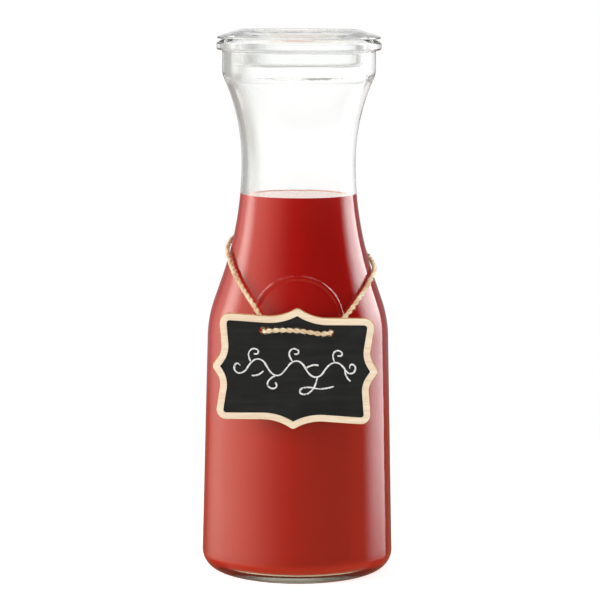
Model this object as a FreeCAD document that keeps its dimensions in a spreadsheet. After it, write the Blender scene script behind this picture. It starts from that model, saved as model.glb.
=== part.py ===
"""A filled wide-mouth juice bottle: glass, glass lid, juice, and a wooden tag on a twine loop.

The document is in millimetres with +Z up. Its origin is the centre of the ring that the bottle
stands on, and -Y is the front, where the tag hangs.
"""

import FreeCAD
import Part
import Sketcher
import math
import os

SIZES = {
    # Glass, from the foot upwards
    "BodyRadius": 44.25,  # outside, where the heel meets the wall
    "HeelRound": 9.0,
    "FootInset": 11.25,  # from there in to the inside of the flat ring that the bottle stands on
    "PushUp": 3.0,  # height of the hollow under the base
    "Draft": 1.37,  # degrees by which the wall leans inwards
    "ShoulderHeight": 109.5,  # where the straight wall ends
    "ShoulderArc": 54.5,
    "SlopeLength": 10.5,  # the straight stretch between the shoulder's two arcs
    "NeckArc": 163.4,
    "NeckRadius": 26.2,  # outside, at the waist of the neck
    "FlareArc": 93.9,
    "LipArc": 9.0,
    "BandRadius": 35.2,  # outside, just below the collar
    "BandHeight": 8.3,
    "CollarReach": 2.55,  # from the band out to the collar's edge
    "CollarEdge": 1.6,  # the upright part of the collar's edge
    "CollarRound": 1.2,
    "CollarFillet": 0.8,
    "CollarSlope": 24.0,  # degrees
    "SeatWidth": 3.0,  # of the flat round the mouth that the lid rests on
    # Glass, inside
    "WallThickness": 2.8,
    "BaseThickness": 5.2,
    "FloorArc": 170.0,
    "InnerHeelRound": 7.0,
    "RimWall": 4.0,  # between the band and the mouth
    "InnerLipArc": 12.0,
    # The plain ring raised on the front of the shoulder
    "RingLift": 10.9,  # of its centre above the end of the straight wall
    "RingRadius": 20.8,
    "RingWidth": 2.4,
    "RingRise": 0.5,
    # Juice
    "FillDrop": 71.2,  # from the lid's seat down to the surface of the juice
    "FillGap": 0.1,
    # Lid, measured from its seat
    "LidInset": 0.3,  # from the collar's edge in to the lid's
    "LidTipRound": 0.55,
    "LidSlope": 18.0,  # degrees
    "LidRise": 4.25,  # from the seat to the lid's top
    "LidShoulderArc": 4.0,
    "RecessInset": 15.95,  # from the lid's edge in to its sunk flat
    "LidRecessDepth": 1.6,
    "LidRecessRound": 1.4,
    "LidPlateThickness": 3.2,
    "PlugClearance": 1.2,  # between the plug and the mouth
    "PlugWall": 3.4,
    "PlugDepth": 12.4,
    "PlugOuterRound": 2.3,
    "PlugInnerRound": 0.9,
    # Tag, about its own centre
    "TagDrop": 9.15,  # of its centre below the end of the straight wall
    "TagOffset": -1.1,
    "TagRoll": 2.0,  # degrees clockwise, seen from the front
    "TagGap": 0.15,  # between its back and the raised ring
    "TagThickness": 3.0,
    "TagRound": 0.4,
    "TagHalfWidth": 36.9,  # to its side points
    "TagHalfHeight": 27.15,  # to its top and bottom points
    "TipRound": 2.0,
    "TopArc": 23.0,
    "TopArcOffset": 13.25,
    "TopSlope": 2.0,  # degrees
    "CornerRound": 4.5,
    "SideSlope": 7.0,  # degrees
    "SideArc": 9.0,
    "SideArcOffset": 8.68,
    "FlankLength": 3.2,
    "BorderWidth": 3.1,
    "RecessDepth": 0.7,
    "PanelThickness": 0.6,
    "PanelGap": 0.1,
    "HoleClearance": 0.6,  # round the twine
    "HoleSpread": 15.05,
    "HoleRise": 16.7,
    # Twine
    "TwineRadius": 1.1,
    "KnotRadius": 2.5,
    "KnotHalfLength": 3.2,
    "TailRadius": 0.95,
    "TailLength": 11.5,
    "TailSplay": 17.0,  # degrees
    "TailLean": 6.0,  # degrees away from the glass
}

# Sizes that follow from those above, so that what fits or lines up stays so
TIED_SIZES = {
    "FootInner": "BodyRadius - FootInset",
    "RingHeight": "ShoulderHeight + RingLift",
    "MouthRadius": "BandRadius - RimWall",
    "CollarRadius": "BandRadius + CollarReach",
    "SeatRadius": "MouthRadius + SeatWidth",
    "LidRadius": "CollarRadius - LidInset",
    "LidRecessRadius": "LidRadius - RecessInset",
    "PlugRadius": "MouthRadius - PlugClearance",
    "TagHeight": "ShoulderHeight - TagDrop",
    "HoleRadius": "TwineRadius + HoleClearance",
}

# The twine runs from the knot at the back round the left side, down behind the tag, out at its
# left hole, across its front, in at its right hole and round the right side back to the knot.
TWINE_ROUTE = [
    (-3.2, 31.2, 164.0),
    (-8.6, 31.2, 164.0),
    (-16.1, 26.3, 161.2),
    (-23.9, 20.4, 157.6),
    (-29.9, 11.7, 154.2),
    (-32.8, 1.6, 151.0),
    (-32.4, -8.5, 148.4),
    (-30.1, -18.6, 142.2),
    (-25.4, -28.1, 134.9),
    (-18.9, -36.5, 126.4),
    (-16.3, -39.6, 121.9),
    (-15.2, -40.6, 117.4),
    (-15.2, -46.8, 117.4),
    (-10.4, -46.8, 118.0),
    (-2.5, -47.2, 118.1),
    (5.5, -46.9, 117.2),
    (10.1, -46.8, 116.3),
    (14.9, -46.8, 116.8),
    (14.9, -40.7, 116.8),
    (17.9, -39.1, 119.9),
    (22.5, -35.3, 123.9),
    (28.4, -27.3, 131.0),
    (32.7, -18.2, 136.4),
    (35.1, -8.1, 140.4),
    (35.2, 2.0, 142.2),
    (31.8, 12.3, 146.8),
    (25.1, 20.7, 152.6),
    (16.3, 26.7, 158.8),
    (8.6, 31.2, 164.0),
    (3.2, 31.2, 164.0),
]
KNOT_CENTRE = (0.0, 31.2, 164.0)

MOUTH_CLEARANCE = 15.0  # how far the cavity's outline runs on above the band

# Places of a sketch element that a constraint may name
START, END, CENTRE = 1, 2, 3
ORIGIN_POINT = (-1, 1)
HORIZONTAL_AXIS = -1
VERTICAL_AXIS = -2


def sin(degrees):
    """Sine of an angle in degrees."""
    return math.sin(math.radians(degrees))


def cos(degrees):
    """Cosine of an angle in degrees."""
    return math.cos(math.radians(degrees))


def vector(x, y, z=0.0):
    """A point or direction."""
    return FreeCAD.Vector(x, y, z)


def make_sheet(doc):
    """The spreadsheet whose cells hold the driving sizes, each under its own alias."""
    sheet = doc.addObject("Spreadsheet::Sheet", "Sizes")
    tied = {alias: f"={formula}" for alias, formula in TIED_SIZES.items()}
    for row, (alias, value) in enumerate((SIZES | tied).items(), start=1):
        sheet.set(f"A{row}", alias)
        sheet.set(f"B{row}", str(value))
        sheet.setAlias(f"B{row}", alias)
    doc.recompute()
    return sheet


def bound_constraint(sketch, label, kind, expression, *where):
    """Add a sketch constraint whose size follows an expression of the sheet's cells."""
    value = float(sketch.evalExpression(expression))
    if kind == "Angle":
        value = math.radians(value)
    number = sketch.addConstraint(Sketcher.Constraint(kind, *where, value))
    sketch.renameConstraint(number, label)
    sketch.setExpression(f"Constraints.{label}", expression)
    return number


class Outline:
    """A sketch drawn as a chain of lines and arcs, each step joined to the one before it."""

    def __init__(self, sketch, start, heading):
        self.sketch = sketch
        self.point = start
        self.heading = heading
        self.steps = {}  # name: (number of the element, its first end, its last end)
        self.last = None
        self.smooth = False

    def corner(self, turn):
        """Turn on the spot, in degrees to the left."""
        self.heading += turn
        self.smooth = False

    def _add(self, name, element, first, last, end):
        number = self.sketch.addGeometry(element, False)
        if self.last:
            kind = "Tangent" if self.smooth else "Coincident"
            self.sketch.addConstraint(Sketcher.Constraint(kind, self.last[0], self.last[2], number, first))
        self.steps[name] = (number, first, last)
        self.last = self.steps[name]
        self.point = end
        self.smooth = True

    def line(self, name, length):
        """A straight step along the present heading."""
        x, y = self.point
        end = (x + length * cos(self.heading), y + length * sin(self.heading))
        self._add(name, Part.LineSegment(vector(x, y), vector(*end)), START, END, end)

    def arc(self, name, radius, turn):
        """A round step that turns by so many degrees, to the left if positive."""
        x, y = self.point
        side = math.copysign(1.0, turn)
        centre = (x - side * radius * sin(self.heading), y + side * radius * cos(self.heading))
        begin = self.heading - side * 90.0
        finish = begin + turn
        end = (centre[0] + radius * cos(finish), centre[1] + radius * sin(finish))
        circle = Part.Circle(vector(*centre), vector(0, 0, 1), radius)
        low, high = sorted((math.radians(begin), math.radians(finish)))
        ends = (START, END) if turn > 0 else (END, START)
        self._add(name, Part.ArcOfCircle(circle, low, high), *ends, end)
        self.heading += turn

    def close(self, smooth=False):
        """Join the last step to the first."""
        first = next(iter(self.steps.values()))
        kind = "Tangent" if smooth else "Coincident"
        self.sketch.addConstraint(Sketcher.Constraint(kind, self.last[0], self.last[2], first[0], first[1]))

    def rule(self, kind, *where):
        """Add a constraint that carries no size."""
        return self.sketch.addConstraint(Sketcher.Constraint(kind, *where))

    def size(self, label, kind, expression, *where):
        """Add a constraint whose size follows an expression of the sheet's cells."""
        return bound_constraint(self.sketch, label, kind, expression, *where)

    def start_of(self, name):
        """The element's number and the place of its first end."""
        number, first, _ = self.steps[name]
        return number, first

    def end_of(self, name):
        """The element's number and the place of its last end."""
        number, _, last = self.steps[name]
        return number, last

    def centre_of(self, name):
        """The element's number and the place of its centre."""
        return self.steps[name][0], CENTRE

    def radius(self, name, expression):
        """The radius of an arc."""
        self.size(f"{name}_bend", "Radius", expression, self.steps[name][0])

    def length(self, name, expression):
        """The length of a line."""
        self.size(f"{name}_length", "Distance", expression, self.steps[name][0])

    def across(self, label, place, expression):
        """How far a point lies to the right of the sketch's origin."""
        self.size(label, "DistanceX", expression, *ORIGIN_POINT, *place)

    def above(self, label, place, expression):
        """How far a point lies above the sketch's origin."""
        self.size(label, "DistanceY", expression, *ORIGIN_POINT, *place)

    def direction(self, name, expression):
        """The direction of a line, in degrees from the horizontal axis."""
        self.size(f"{name}_direction", "Angle", expression, self.steps[name][0])

    def level(self, *names):
        """Keep lines horizontal."""
        for name in names:
            self.rule("Horizontal", self.steps[name][0])

    def upright(self, *names):
        """Keep lines vertical."""
        for name in names:
            self.rule("Vertical", self.steps[name][0])


def new_body(doc, name):
    """An empty body whose label is its name."""
    body = doc.addObject("PartDesign::Body", name)
    body.Label = name
    return body


def new_sketch(body, name, plane):
    """A sketch on one of the body's own origin planes."""
    sketch = body.newObject("Sketcher::SketchObject", name)
    support = next(f for f in body.Origin.OriginFeatures if f.Role == plane)
    sketch.AttachmentSupport = [(support, "")]
    sketch.MapMode = "FlatFace"
    return sketch


def revolve(doc, body, sketch, axis):
    """Turn a closed sketch fully round one of its own axes."""
    turned = body.newObject("PartDesign::Revolution", f"{body.Name}_turned")
    turned.Profile = sketch
    turned.ReferenceAxis = (sketch, [axis])
    turned.Angle = 360.0
    doc.recompute()
    return turned


def shoulder_start(sheet):
    """Outside radius and height of the point where the wall becomes the shoulder."""
    heel_top = sheet.HeelRound * (1 + sin(sheet.Draft))
    fall = (sheet.ShoulderHeight - heel_top) * math.tan(math.radians(sheet.Draft))
    return sheet.BodyRadius - fall, sheet.ShoulderHeight


WALL_RUN = "(Sizes.ShoulderHeight - Sizes.HeelRound * (1 + sin(Sizes.Draft * 1deg)))"
SHOULDER_RADIUS = f"(Sizes.BodyRadius - {WALL_RUN} * tan(Sizes.Draft * 1deg))"


def slope_angle(sheet):
    """Degrees by which the shoulder leans in, so that its arcs and slope end at the neck."""
    run = sheet.ShoulderArc + sheet.NeckArc
    reach = shoulder_start(sheet)[0] - sheet.NeckRadius - sheet.ShoulderArc * cos(sheet.Draft) - sheet.NeckArc
    slant = math.hypot(run, sheet.SlopeLength)
    return math.degrees(math.acos(-reach / slant) - math.atan2(sheet.SlopeLength, run))


def flare_angle(waist, mouth, flare, lip):
    """Degrees by which a neck flares, so that its two arcs lead from the waist to the mouth."""
    return math.degrees(math.acos(1 - (mouth - waist) / (flare + lip)))


def dome_turn(radius, reach):
    """Degrees that an arc centred on the axis turns before it is that far from the axis."""
    return math.degrees(math.asin(reach / radius))


def draw_outside(sheet, sketch):
    """Half section of the glass, outside only: foot, wall, shoulder, neck, flare and collar."""
    dome = (sheet.FootInner**2 + sheet.PushUp**2) / (2 * sheet.PushUp)
    lean = slope_angle(sheet)
    flare = flare_angle(sheet.NeckRadius, sheet.BandRadius, sheet.FlareArc, sheet.LipArc)
    heel_inset = sheet.HeelRound * cos(sheet.Draft)
    wall = (sheet.ShoulderHeight - sheet.HeelRound * (1 + sin(sheet.Draft))) / cos(sheet.Draft)
    ledge = sheet.CollarRadius - sheet.BandRadius - sheet.CollarFillet - sheet.CollarRound
    top_reach = sheet.CollarRadius - sheet.CollarRound * (1 - sin(sheet.CollarSlope)) - sheet.SeatRadius

    outline = Outline(sketch, (0.0, sheet.PushUp), 0.0)
    outline.arc("hollow", dome, -dome_turn(dome, sheet.FootInner))
    outline.corner(-outline.heading)
    outline.line("foot", sheet.BodyRadius - heel_inset - sheet.FootInner)
    outline.arc("heel", sheet.HeelRound, 90.0 + sheet.Draft)
    outline.line("wall", wall)
    outline.arc("shoulder", sheet.ShoulderArc, lean - sheet.Draft)
    outline.line("slope", sheet.SlopeLength)
    outline.arc("neck", sheet.NeckArc, -lean)
    outline.arc("flare", sheet.FlareArc, -flare)
    outline.arc("lip", sheet.LipArc, flare)
    outline.line("band", sheet.BandHeight)
    outline.arc("collar_fillet", sheet.CollarFillet, -90.0)
    outline.line("ledge", ledge)
    outline.arc("collar_low", sheet.CollarRound, 90.0)
    outline.line("collar_edge", sheet.CollarEdge)
    outline.arc("collar_high", sheet.CollarRound, 90.0 - sheet.CollarSlope)
    outline.line("collar_top", top_reach / cos(sheet.CollarSlope))
    outline.corner(sheet.CollarSlope)
    outline.line("seat", sheet.SeatRadius)
    outline.corner(90.0)
    outline.line("axis", outline.point[1] - sheet.PushUp)
    outline.close()

    outline.rule("PointOnObject", *outline.start_of("axis"), VERTICAL_AXIS)
    outline.rule("PointOnObject", *outline.end_of("axis"), VERTICAL_AXIS)
    outline.rule("PointOnObject", *outline.centre_of("hollow"), VERTICAL_AXIS)
    outline.above("push_up", outline.start_of("hollow"), "Sizes.PushUp")
    outline.rule("PointOnObject", *outline.end_of("hollow"), HORIZONTAL_AXIS)
    outline.across("foot_inner", outline.end_of("hollow"), "Sizes.FootInner")
    outline.level("foot", "ledge", "seat")
    outline.upright("band", "collar_edge")
    outline.radius("heel", "Sizes.HeelRound")
    outline.across("body_radius", outline.start_of("wall"), "Sizes.BodyRadius")
    outline.direction("wall", "90 + Sizes.Draft")
    outline.above("shoulder_height", outline.end_of("wall"), "Sizes.ShoulderHeight")
    outline.radius("shoulder", "Sizes.ShoulderArc")
    outline.length("slope", "Sizes.SlopeLength")
    outline.radius("neck", "Sizes.NeckArc")
    outline.rule("Horizontal", *outline.centre_of("neck"), *outline.end_of("neck"))
    outline.across("neck_radius", outline.end_of("neck"), "Sizes.NeckRadius")
    outline.radius("flare", "Sizes.FlareArc")
    outline.radius("lip", "Sizes.LipArc")
    outline.across("band_radius", outline.end_of("band"), "Sizes.BandRadius")
    outline.length("band", "Sizes.BandHeight")
    outline.radius("collar_fillet", "Sizes.CollarFillet")
    outline.radius("collar_low", "Sizes.CollarRound")
    outline.radius("collar_high", "Sizes.CollarRound")
    outline.length("collar_edge", "Sizes.CollarEdge")
    outline.across("collar_radius", outline.end_of("collar_edge"), "Sizes.CollarRadius")
    outline.direction("collar_top", "180 - Sizes.CollarSlope")
    outline.across("seat_radius", outline.end_of("collar_top"), "Sizes.SeatRadius")
    seat = outline.size("seat_height", "DistanceY", "0", *ORIGIN_POINT, *outline.start_of("seat"))
    sketch.setExpression("Constraints.seat_height", None)
    sketch.setDriving(seat, False)


def draw_inside(sheet, sketch, inset, grow, top="MouthRadius"):
    """Half section of the space inside the glass, or of a form parallel to it.

    inset is how far its wall lies inside the glass's outside, as (value, expression), and grow is
    how far it is shrunk from the cavity itself, in the same way. top names the radius that it
    ends with.
    """
    inset_value, inset_text = inset
    gap_value, gap_text = grow
    start_radius, start_height = shoulder_start(sheet)
    lean = slope_angle(sheet)
    floor = sheet.FloorArc + gap_value
    heel = sheet.InnerHeelRound - gap_value
    waist = sheet.NeckRadius - inset_value
    mouth = getattr(sheet, top) - gap_value
    flare_arc = sheet.FlareArc + inset_value
    lip_arc = sheet.InnerLipArc - gap_value
    flare = flare_angle(waist, mouth, flare_arc, lip_arc)
    # The floor's arc and the heel's arc touch where both face the same way.
    wall_top = (start_radius - inset_value * cos(sheet.Draft), start_height - inset_value * sin(sheet.Draft))
    apex = sheet.PushUp + sheet.BaseThickness + gap_value
    base_centre = apex - floor
    low, high = apex - floor, start_height
    for _ in range(60):
        heel_height = (low + high) / 2
        along = (wall_top[1] - heel * sin(sheet.Draft) - heel_height) / cos(sheet.Draft)
        heel_centre = wall_top[0] - heel * cos(sheet.Draft) + along * sin(sheet.Draft)
        if math.hypot(heel_centre, heel_height - base_centre) < floor + heel:
            low = heel_height
        else:
            high = heel_height
    dip = math.degrees(math.atan2(heel_centre, heel_height - base_centre))

    outline = Outline(sketch, (0.0, apex), 0.0)
    outline.arc("floor", floor, -dip)
    outline.arc("heel", heel, dip + 90.0 + sheet.Draft)
    outline.line("wall", (wall_top[1] - outline.point[1]) / cos(sheet.Draft))
    outline.arc("shoulder", sheet.ShoulderArc - inset_value, lean - sheet.Draft)
    outline.line("slope", sheet.SlopeLength)
    outline.arc("neck", sheet.NeckArc + inset_value, -lean)
    outline.arc("flare", flare_arc, -flare)
    outline.arc("lip", lip_arc, flare)
    outline.line("mouth", sheet.BandHeight + MOUTH_CLEARANCE)
    outline.corner(90.0)
    outline.line("lid_side", mouth)
    outline.corner(90.0)
    outline.line("axis", outline.point[1] - apex)
    outline.close()

    outline.rule("PointOnObject", *outline.start_of("axis"), VERTICAL_AXIS)
    outline.rule("PointOnObject", *outline.end_of("axis"), VERTICAL_AXIS)
    outline.rule("PointOnObject", *outline.centre_of("floor"), VERTICAL_AXIS)
    floor_height = f"Sizes.PushUp + Sizes.BaseThickness + {gap_text}"
    outline.above("floor_height", outline.start_of("floor"), floor_height)
    outline.radius("floor", f"Sizes.FloorArc + {gap_text}")
    outline.radius("heel", f"Sizes.InnerHeelRound - {gap_text}")
    outline.direction("wall", "90 + Sizes.Draft")
    top_radius = f"{SHOULDER_RADIUS} - ({inset_text}) * cos(Sizes.Draft * 1deg)"
    outline.across("wall_top_radius", outline.end_of("wall"), top_radius)
    top_height = f"Sizes.ShoulderHeight - ({inset_text}) * sin(Sizes.Draft * 1deg)"
    outline.above("wall_top_height", outline.end_of("wall"), top_height)
    outline.radius("shoulder", f"Sizes.ShoulderArc - ({inset_text})")
    outline.length("slope", "Sizes.SlopeLength")
    outline.radius("neck", f"Sizes.NeckArc + ({inset_text})")
    outline.rule("Horizontal", *outline.centre_of("neck"), *outline.end_of("neck"))
    outline.across("neck_radius", outline.end_of("neck"), f"Sizes.NeckRadius - ({inset_text})")
    outline.radius("flare", f"Sizes.FlareArc + ({inset_text})")
    outline.radius("lip", f"Sizes.InnerLipArc - {gap_text}")
    outline.upright("mouth")
    outline.across("mouth_radius", outline.end_of("mouth"), f"Sizes.{top} - {gap_text}")
    outline.length("mouth", f"Sizes.BandHeight + {MOUTH_CLEARANCE}")
    outline.level("lid_side")


def make_bottle(doc, sheet):
    """The glass: its outside, less its cavity, with the plain ring raised on its shoulder."""
    outside = new_body(doc, "glass_outside")
    outside_sketch = new_sketch(outside, "GlassOutline", "XZ_Plane")
    draw_outside(sheet, outside_sketch)
    revolve(doc, outside, outside_sketch, "V_Axis")

    cavity = new_body(doc, "glass_cavity")
    cavity_sketch = new_sketch(cavity, "CavityOutline", "XZ_Plane")
    draw_inside(sheet, cavity_sketch, (sheet.WallThickness, "Sizes.WallThickness"), (0.0, "0"))
    revolve(doc, cavity, cavity_sketch, "V_Axis")

    skin = new_body(doc, "ring_skin")
    skin_sketch = new_sketch(skin, "RingSkinOutline", "XZ_Plane")
    draw_inside(sheet, skin_sketch, (-sheet.RingRise, "-Sizes.RingRise"), (0.0, "0"), "BandRadius")
    revolve(doc, skin, skin_sketch, "V_Axis")

    tube = new_body(doc, "ring_tube")
    tube_sketch = new_sketch(tube, "RingCircles", "XZ_Plane")
    for label, radius, text in (
        ("outer", sheet.RingRadius, "Sizes.RingRadius"),
        ("inner", sheet.RingRadius - sheet.RingWidth, "Sizes.RingRadius - Sizes.RingWidth"),
    ):
        circle = Part.Circle(vector(0, sheet.RingHeight), vector(0, 0, 1), radius)
        number = tube_sketch.addGeometry(circle, False)
        tube_sketch.addConstraint(Sketcher.Constraint("PointOnObject", number, CENTRE, VERTICAL_AXIS))
        for size_label, kind, where, expression in (
            (f"{label}_radius", "Radius", (number,), text),
            (f"{label}_height", "DistanceY", (*ORIGIN_POINT, number, CENTRE), "Sizes.RingHeight"),
        ):
            bound_constraint(tube_sketch, size_label, kind, expression, *where)
    pad = tube.newObject("PartDesign::Pad", "RingTube")
    pad.Profile = tube_sketch
    pad.setExpression("Length", "Sizes.BodyRadius + Sizes.RingRise")
    doc.recompute()

    ring = doc.addObject("Part::MultiCommon", "RaisedRing")
    ring.Shapes = [skin, tube]
    whole = doc.addObject("Part::MultiFuse", "GlassWithRing")
    whole.Shapes = [outside, ring]
    bottle = doc.addObject("Part::Cut", "bottle")
    bottle.Base = whole
    bottle.Tool = cavity
    bottle.Label = "bottle"
    doc.recompute()
    return bottle


def make_juice(doc, sheet):
    """The juice: the cavity's form, a hair smaller, up to the level of the juice."""
    body = new_body(doc, "juice")
    sketch = new_sketch(body, "JuiceOutline", "XZ_Plane")
    inset = (sheet.WallThickness + sheet.FillGap, "Sizes.WallThickness + Sizes.FillGap")
    draw_inside(sheet, sketch, inset, (sheet.FillGap, "Sizes.FillGap"))
    turned = revolve(doc, body, sketch, "V_Axis")
    full = turned.Shape.Volume

    surface = new_sketch(body, "JuiceSurface", "XY_Plane")
    surface_height = "GlassOutline.Constraints.seat_height - Sizes.FillDrop * 1mm"
    surface.setExpression("AttachmentOffset.Base.z", surface_height)
    number = surface.addGeometry(Part.Circle(vector(0, 0), vector(0, 0, 1), 1.0), False)
    surface.addConstraint(Sketcher.Constraint("Coincident", number, CENTRE, *ORIGIN_POINT))
    bound_constraint(surface, "cut_radius", "Radius", "Sizes.BodyRadius", number)
    cut = body.newObject("PartDesign::Pocket", "AboveTheJuice")
    cut.Profile = surface
    cut.Type = "ThroughAll"
    cut.Reversed = True
    doc.recompute()
    left = cut.Shape.Volume
    if not 0.5 * full < left < 0.98 * full:
        raise RuntimeError(f"the juice's surface cut {full - left:.0f} of {full:.0f} cubic millimetres")
    return body


def make_lid(doc, sheet):
    """The lid: a brim that rests on the collar, a sunk top and a hollow plug in the mouth."""
    body = new_body(doc, "lid")
    sketch = new_sketch(body, "LidOutline", "XZ_Plane")
    recess = sheet.LidRise - sheet.LidRecessDepth
    half_fall = sheet.LidRecessDepth / 2
    wave = math.degrees(math.acos(1 - half_fall / sheet.LidRecessRound))
    wave_reach = 2 * sheet.LidRecessRound * sin(wave)
    brim_tip = sheet.LidRadius - sheet.LidTipRound * (1 - sin(sheet.LidSlope))
    brim_height = sheet.LidTipRound * (1 + cos(sheet.LidSlope))
    crest_fall = sheet.LidShoulderArc * (1 - cos(sheet.LidSlope))
    brim_run = (sheet.LidRise - crest_fall - brim_height) / math.tan(math.radians(sheet.LidSlope))
    crest = brim_tip - brim_run - sheet.LidShoulderArc * sin(sheet.LidSlope)
    underside = sheet.LidRadius - sheet.LidTipRound - sheet.PlugRadius - sheet.PlugInnerRound
    plug_inside = sheet.PlugRadius - sheet.PlugWall
    foot = sheet.PlugWall - sheet.PlugOuterRound - sheet.PlugInnerRound
    ceiling = recess - sheet.LidPlateThickness

    outline = Outline(sketch, (0.0, recess), 0.0)
    outline.line("recess", sheet.LidRecessRadius)
    outline.arc("recess_foot", sheet.LidRecessRound, wave)
    outline.arc("recess_rim", sheet.LidRecessRound, -wave)
    outline.line("plateau", crest - sheet.LidRecessRadius - wave_reach)
    outline.arc("crest", sheet.LidShoulderArc, -sheet.LidSlope)
    outline.line("brim", brim_run / cos(sheet.LidSlope))
    outline.arc("tip", sheet.LidTipRound, sheet.LidSlope - 180.0)
    outline.line("underside", underside)
    outline.arc("plug_fillet", sheet.PlugInnerRound, 90.0)
    outline.line("plug_outside", sheet.PlugDepth - sheet.PlugInnerRound - sheet.PlugOuterRound)
    outline.arc("plug_outer_round", sheet.PlugOuterRound, -90.0)
    outline.line("plug_foot", foot)
    outline.arc("plug_inner_round", sheet.PlugInnerRound, -90.0)
    outline.line("plug_inside", sheet.PlugDepth + ceiling - 2 * sheet.PlugInnerRound)
    outline.arc("ceiling_fillet", sheet.PlugInnerRound, 90.0)
    outline.line("ceiling", plug_inside - sheet.PlugInnerRound)
    outline.corner(-90.0)
    outline.line("axis", sheet.LidPlateThickness)
    outline.close()

    outline.rule("PointOnObject", *outline.start_of("axis"), VERTICAL_AXIS)
    outline.rule("PointOnObject", *outline.end_of("axis"), VERTICAL_AXIS)
    outline.level("recess", "plateau", "underside", "plug_foot", "ceiling")
    outline.upright("plug_outside", "plug_inside")
    outline.above("recess_height", outline.end_of("recess"), "Sizes.LidRise - Sizes.LidRecessDepth")
    outline.length("recess", "Sizes.LidRecessRadius")
    outline.radius("recess_foot", "Sizes.LidRecessRound")
    outline.radius("recess_rim", "Sizes.LidRecessRound")
    outline.above("lid_rise", outline.end_of("plateau"), "Sizes.LidRise")
    outline.radius("crest", "Sizes.LidShoulderArc")
    outline.direction("brim", "-Sizes.LidSlope")
    outline.radius("tip", "Sizes.LidTipRound")
    outline.across("tip_centre", outline.centre_of("tip"), "Sizes.LidRadius - Sizes.LidTipRound")
    outline.rule("PointOnObject", *outline.start_of("underside"), HORIZONTAL_AXIS)
    for name in ("plug_fillet", "plug_inner_round", "ceiling_fillet"):
        outline.radius(name, "Sizes.PlugInnerRound")
    outline.radius("plug_outer_round", "Sizes.PlugOuterRound")
    outline.across("plug_radius", outline.start_of("plug_outside"), "Sizes.PlugRadius")
    outline.above("plug_depth", outline.end_of("plug_foot"), "-Sizes.PlugDepth")
    outline.across("plug_inner_radius", outline.start_of("plug_inside"), "Sizes.PlugRadius - Sizes.PlugWall")
    outline.length("axis", "Sizes.LidPlateThickness")
    revolve(doc, body, sketch, "V_Axis")
    body.setExpression("Placement.Base.z", "GlassOutline.Constraints.seat_height")
    doc.recompute()
    return body


def flank_angle(sheet):
    """Degrees from the upright at which the flank of a side point leans."""
    run = sheet.TipRound + sheet.SideArc
    slant = math.hypot(run, sheet.FlankLength)
    return math.degrees(math.asin(sheet.SideArcOffset / slant) - math.atan2(sheet.FlankLength, run))


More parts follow.
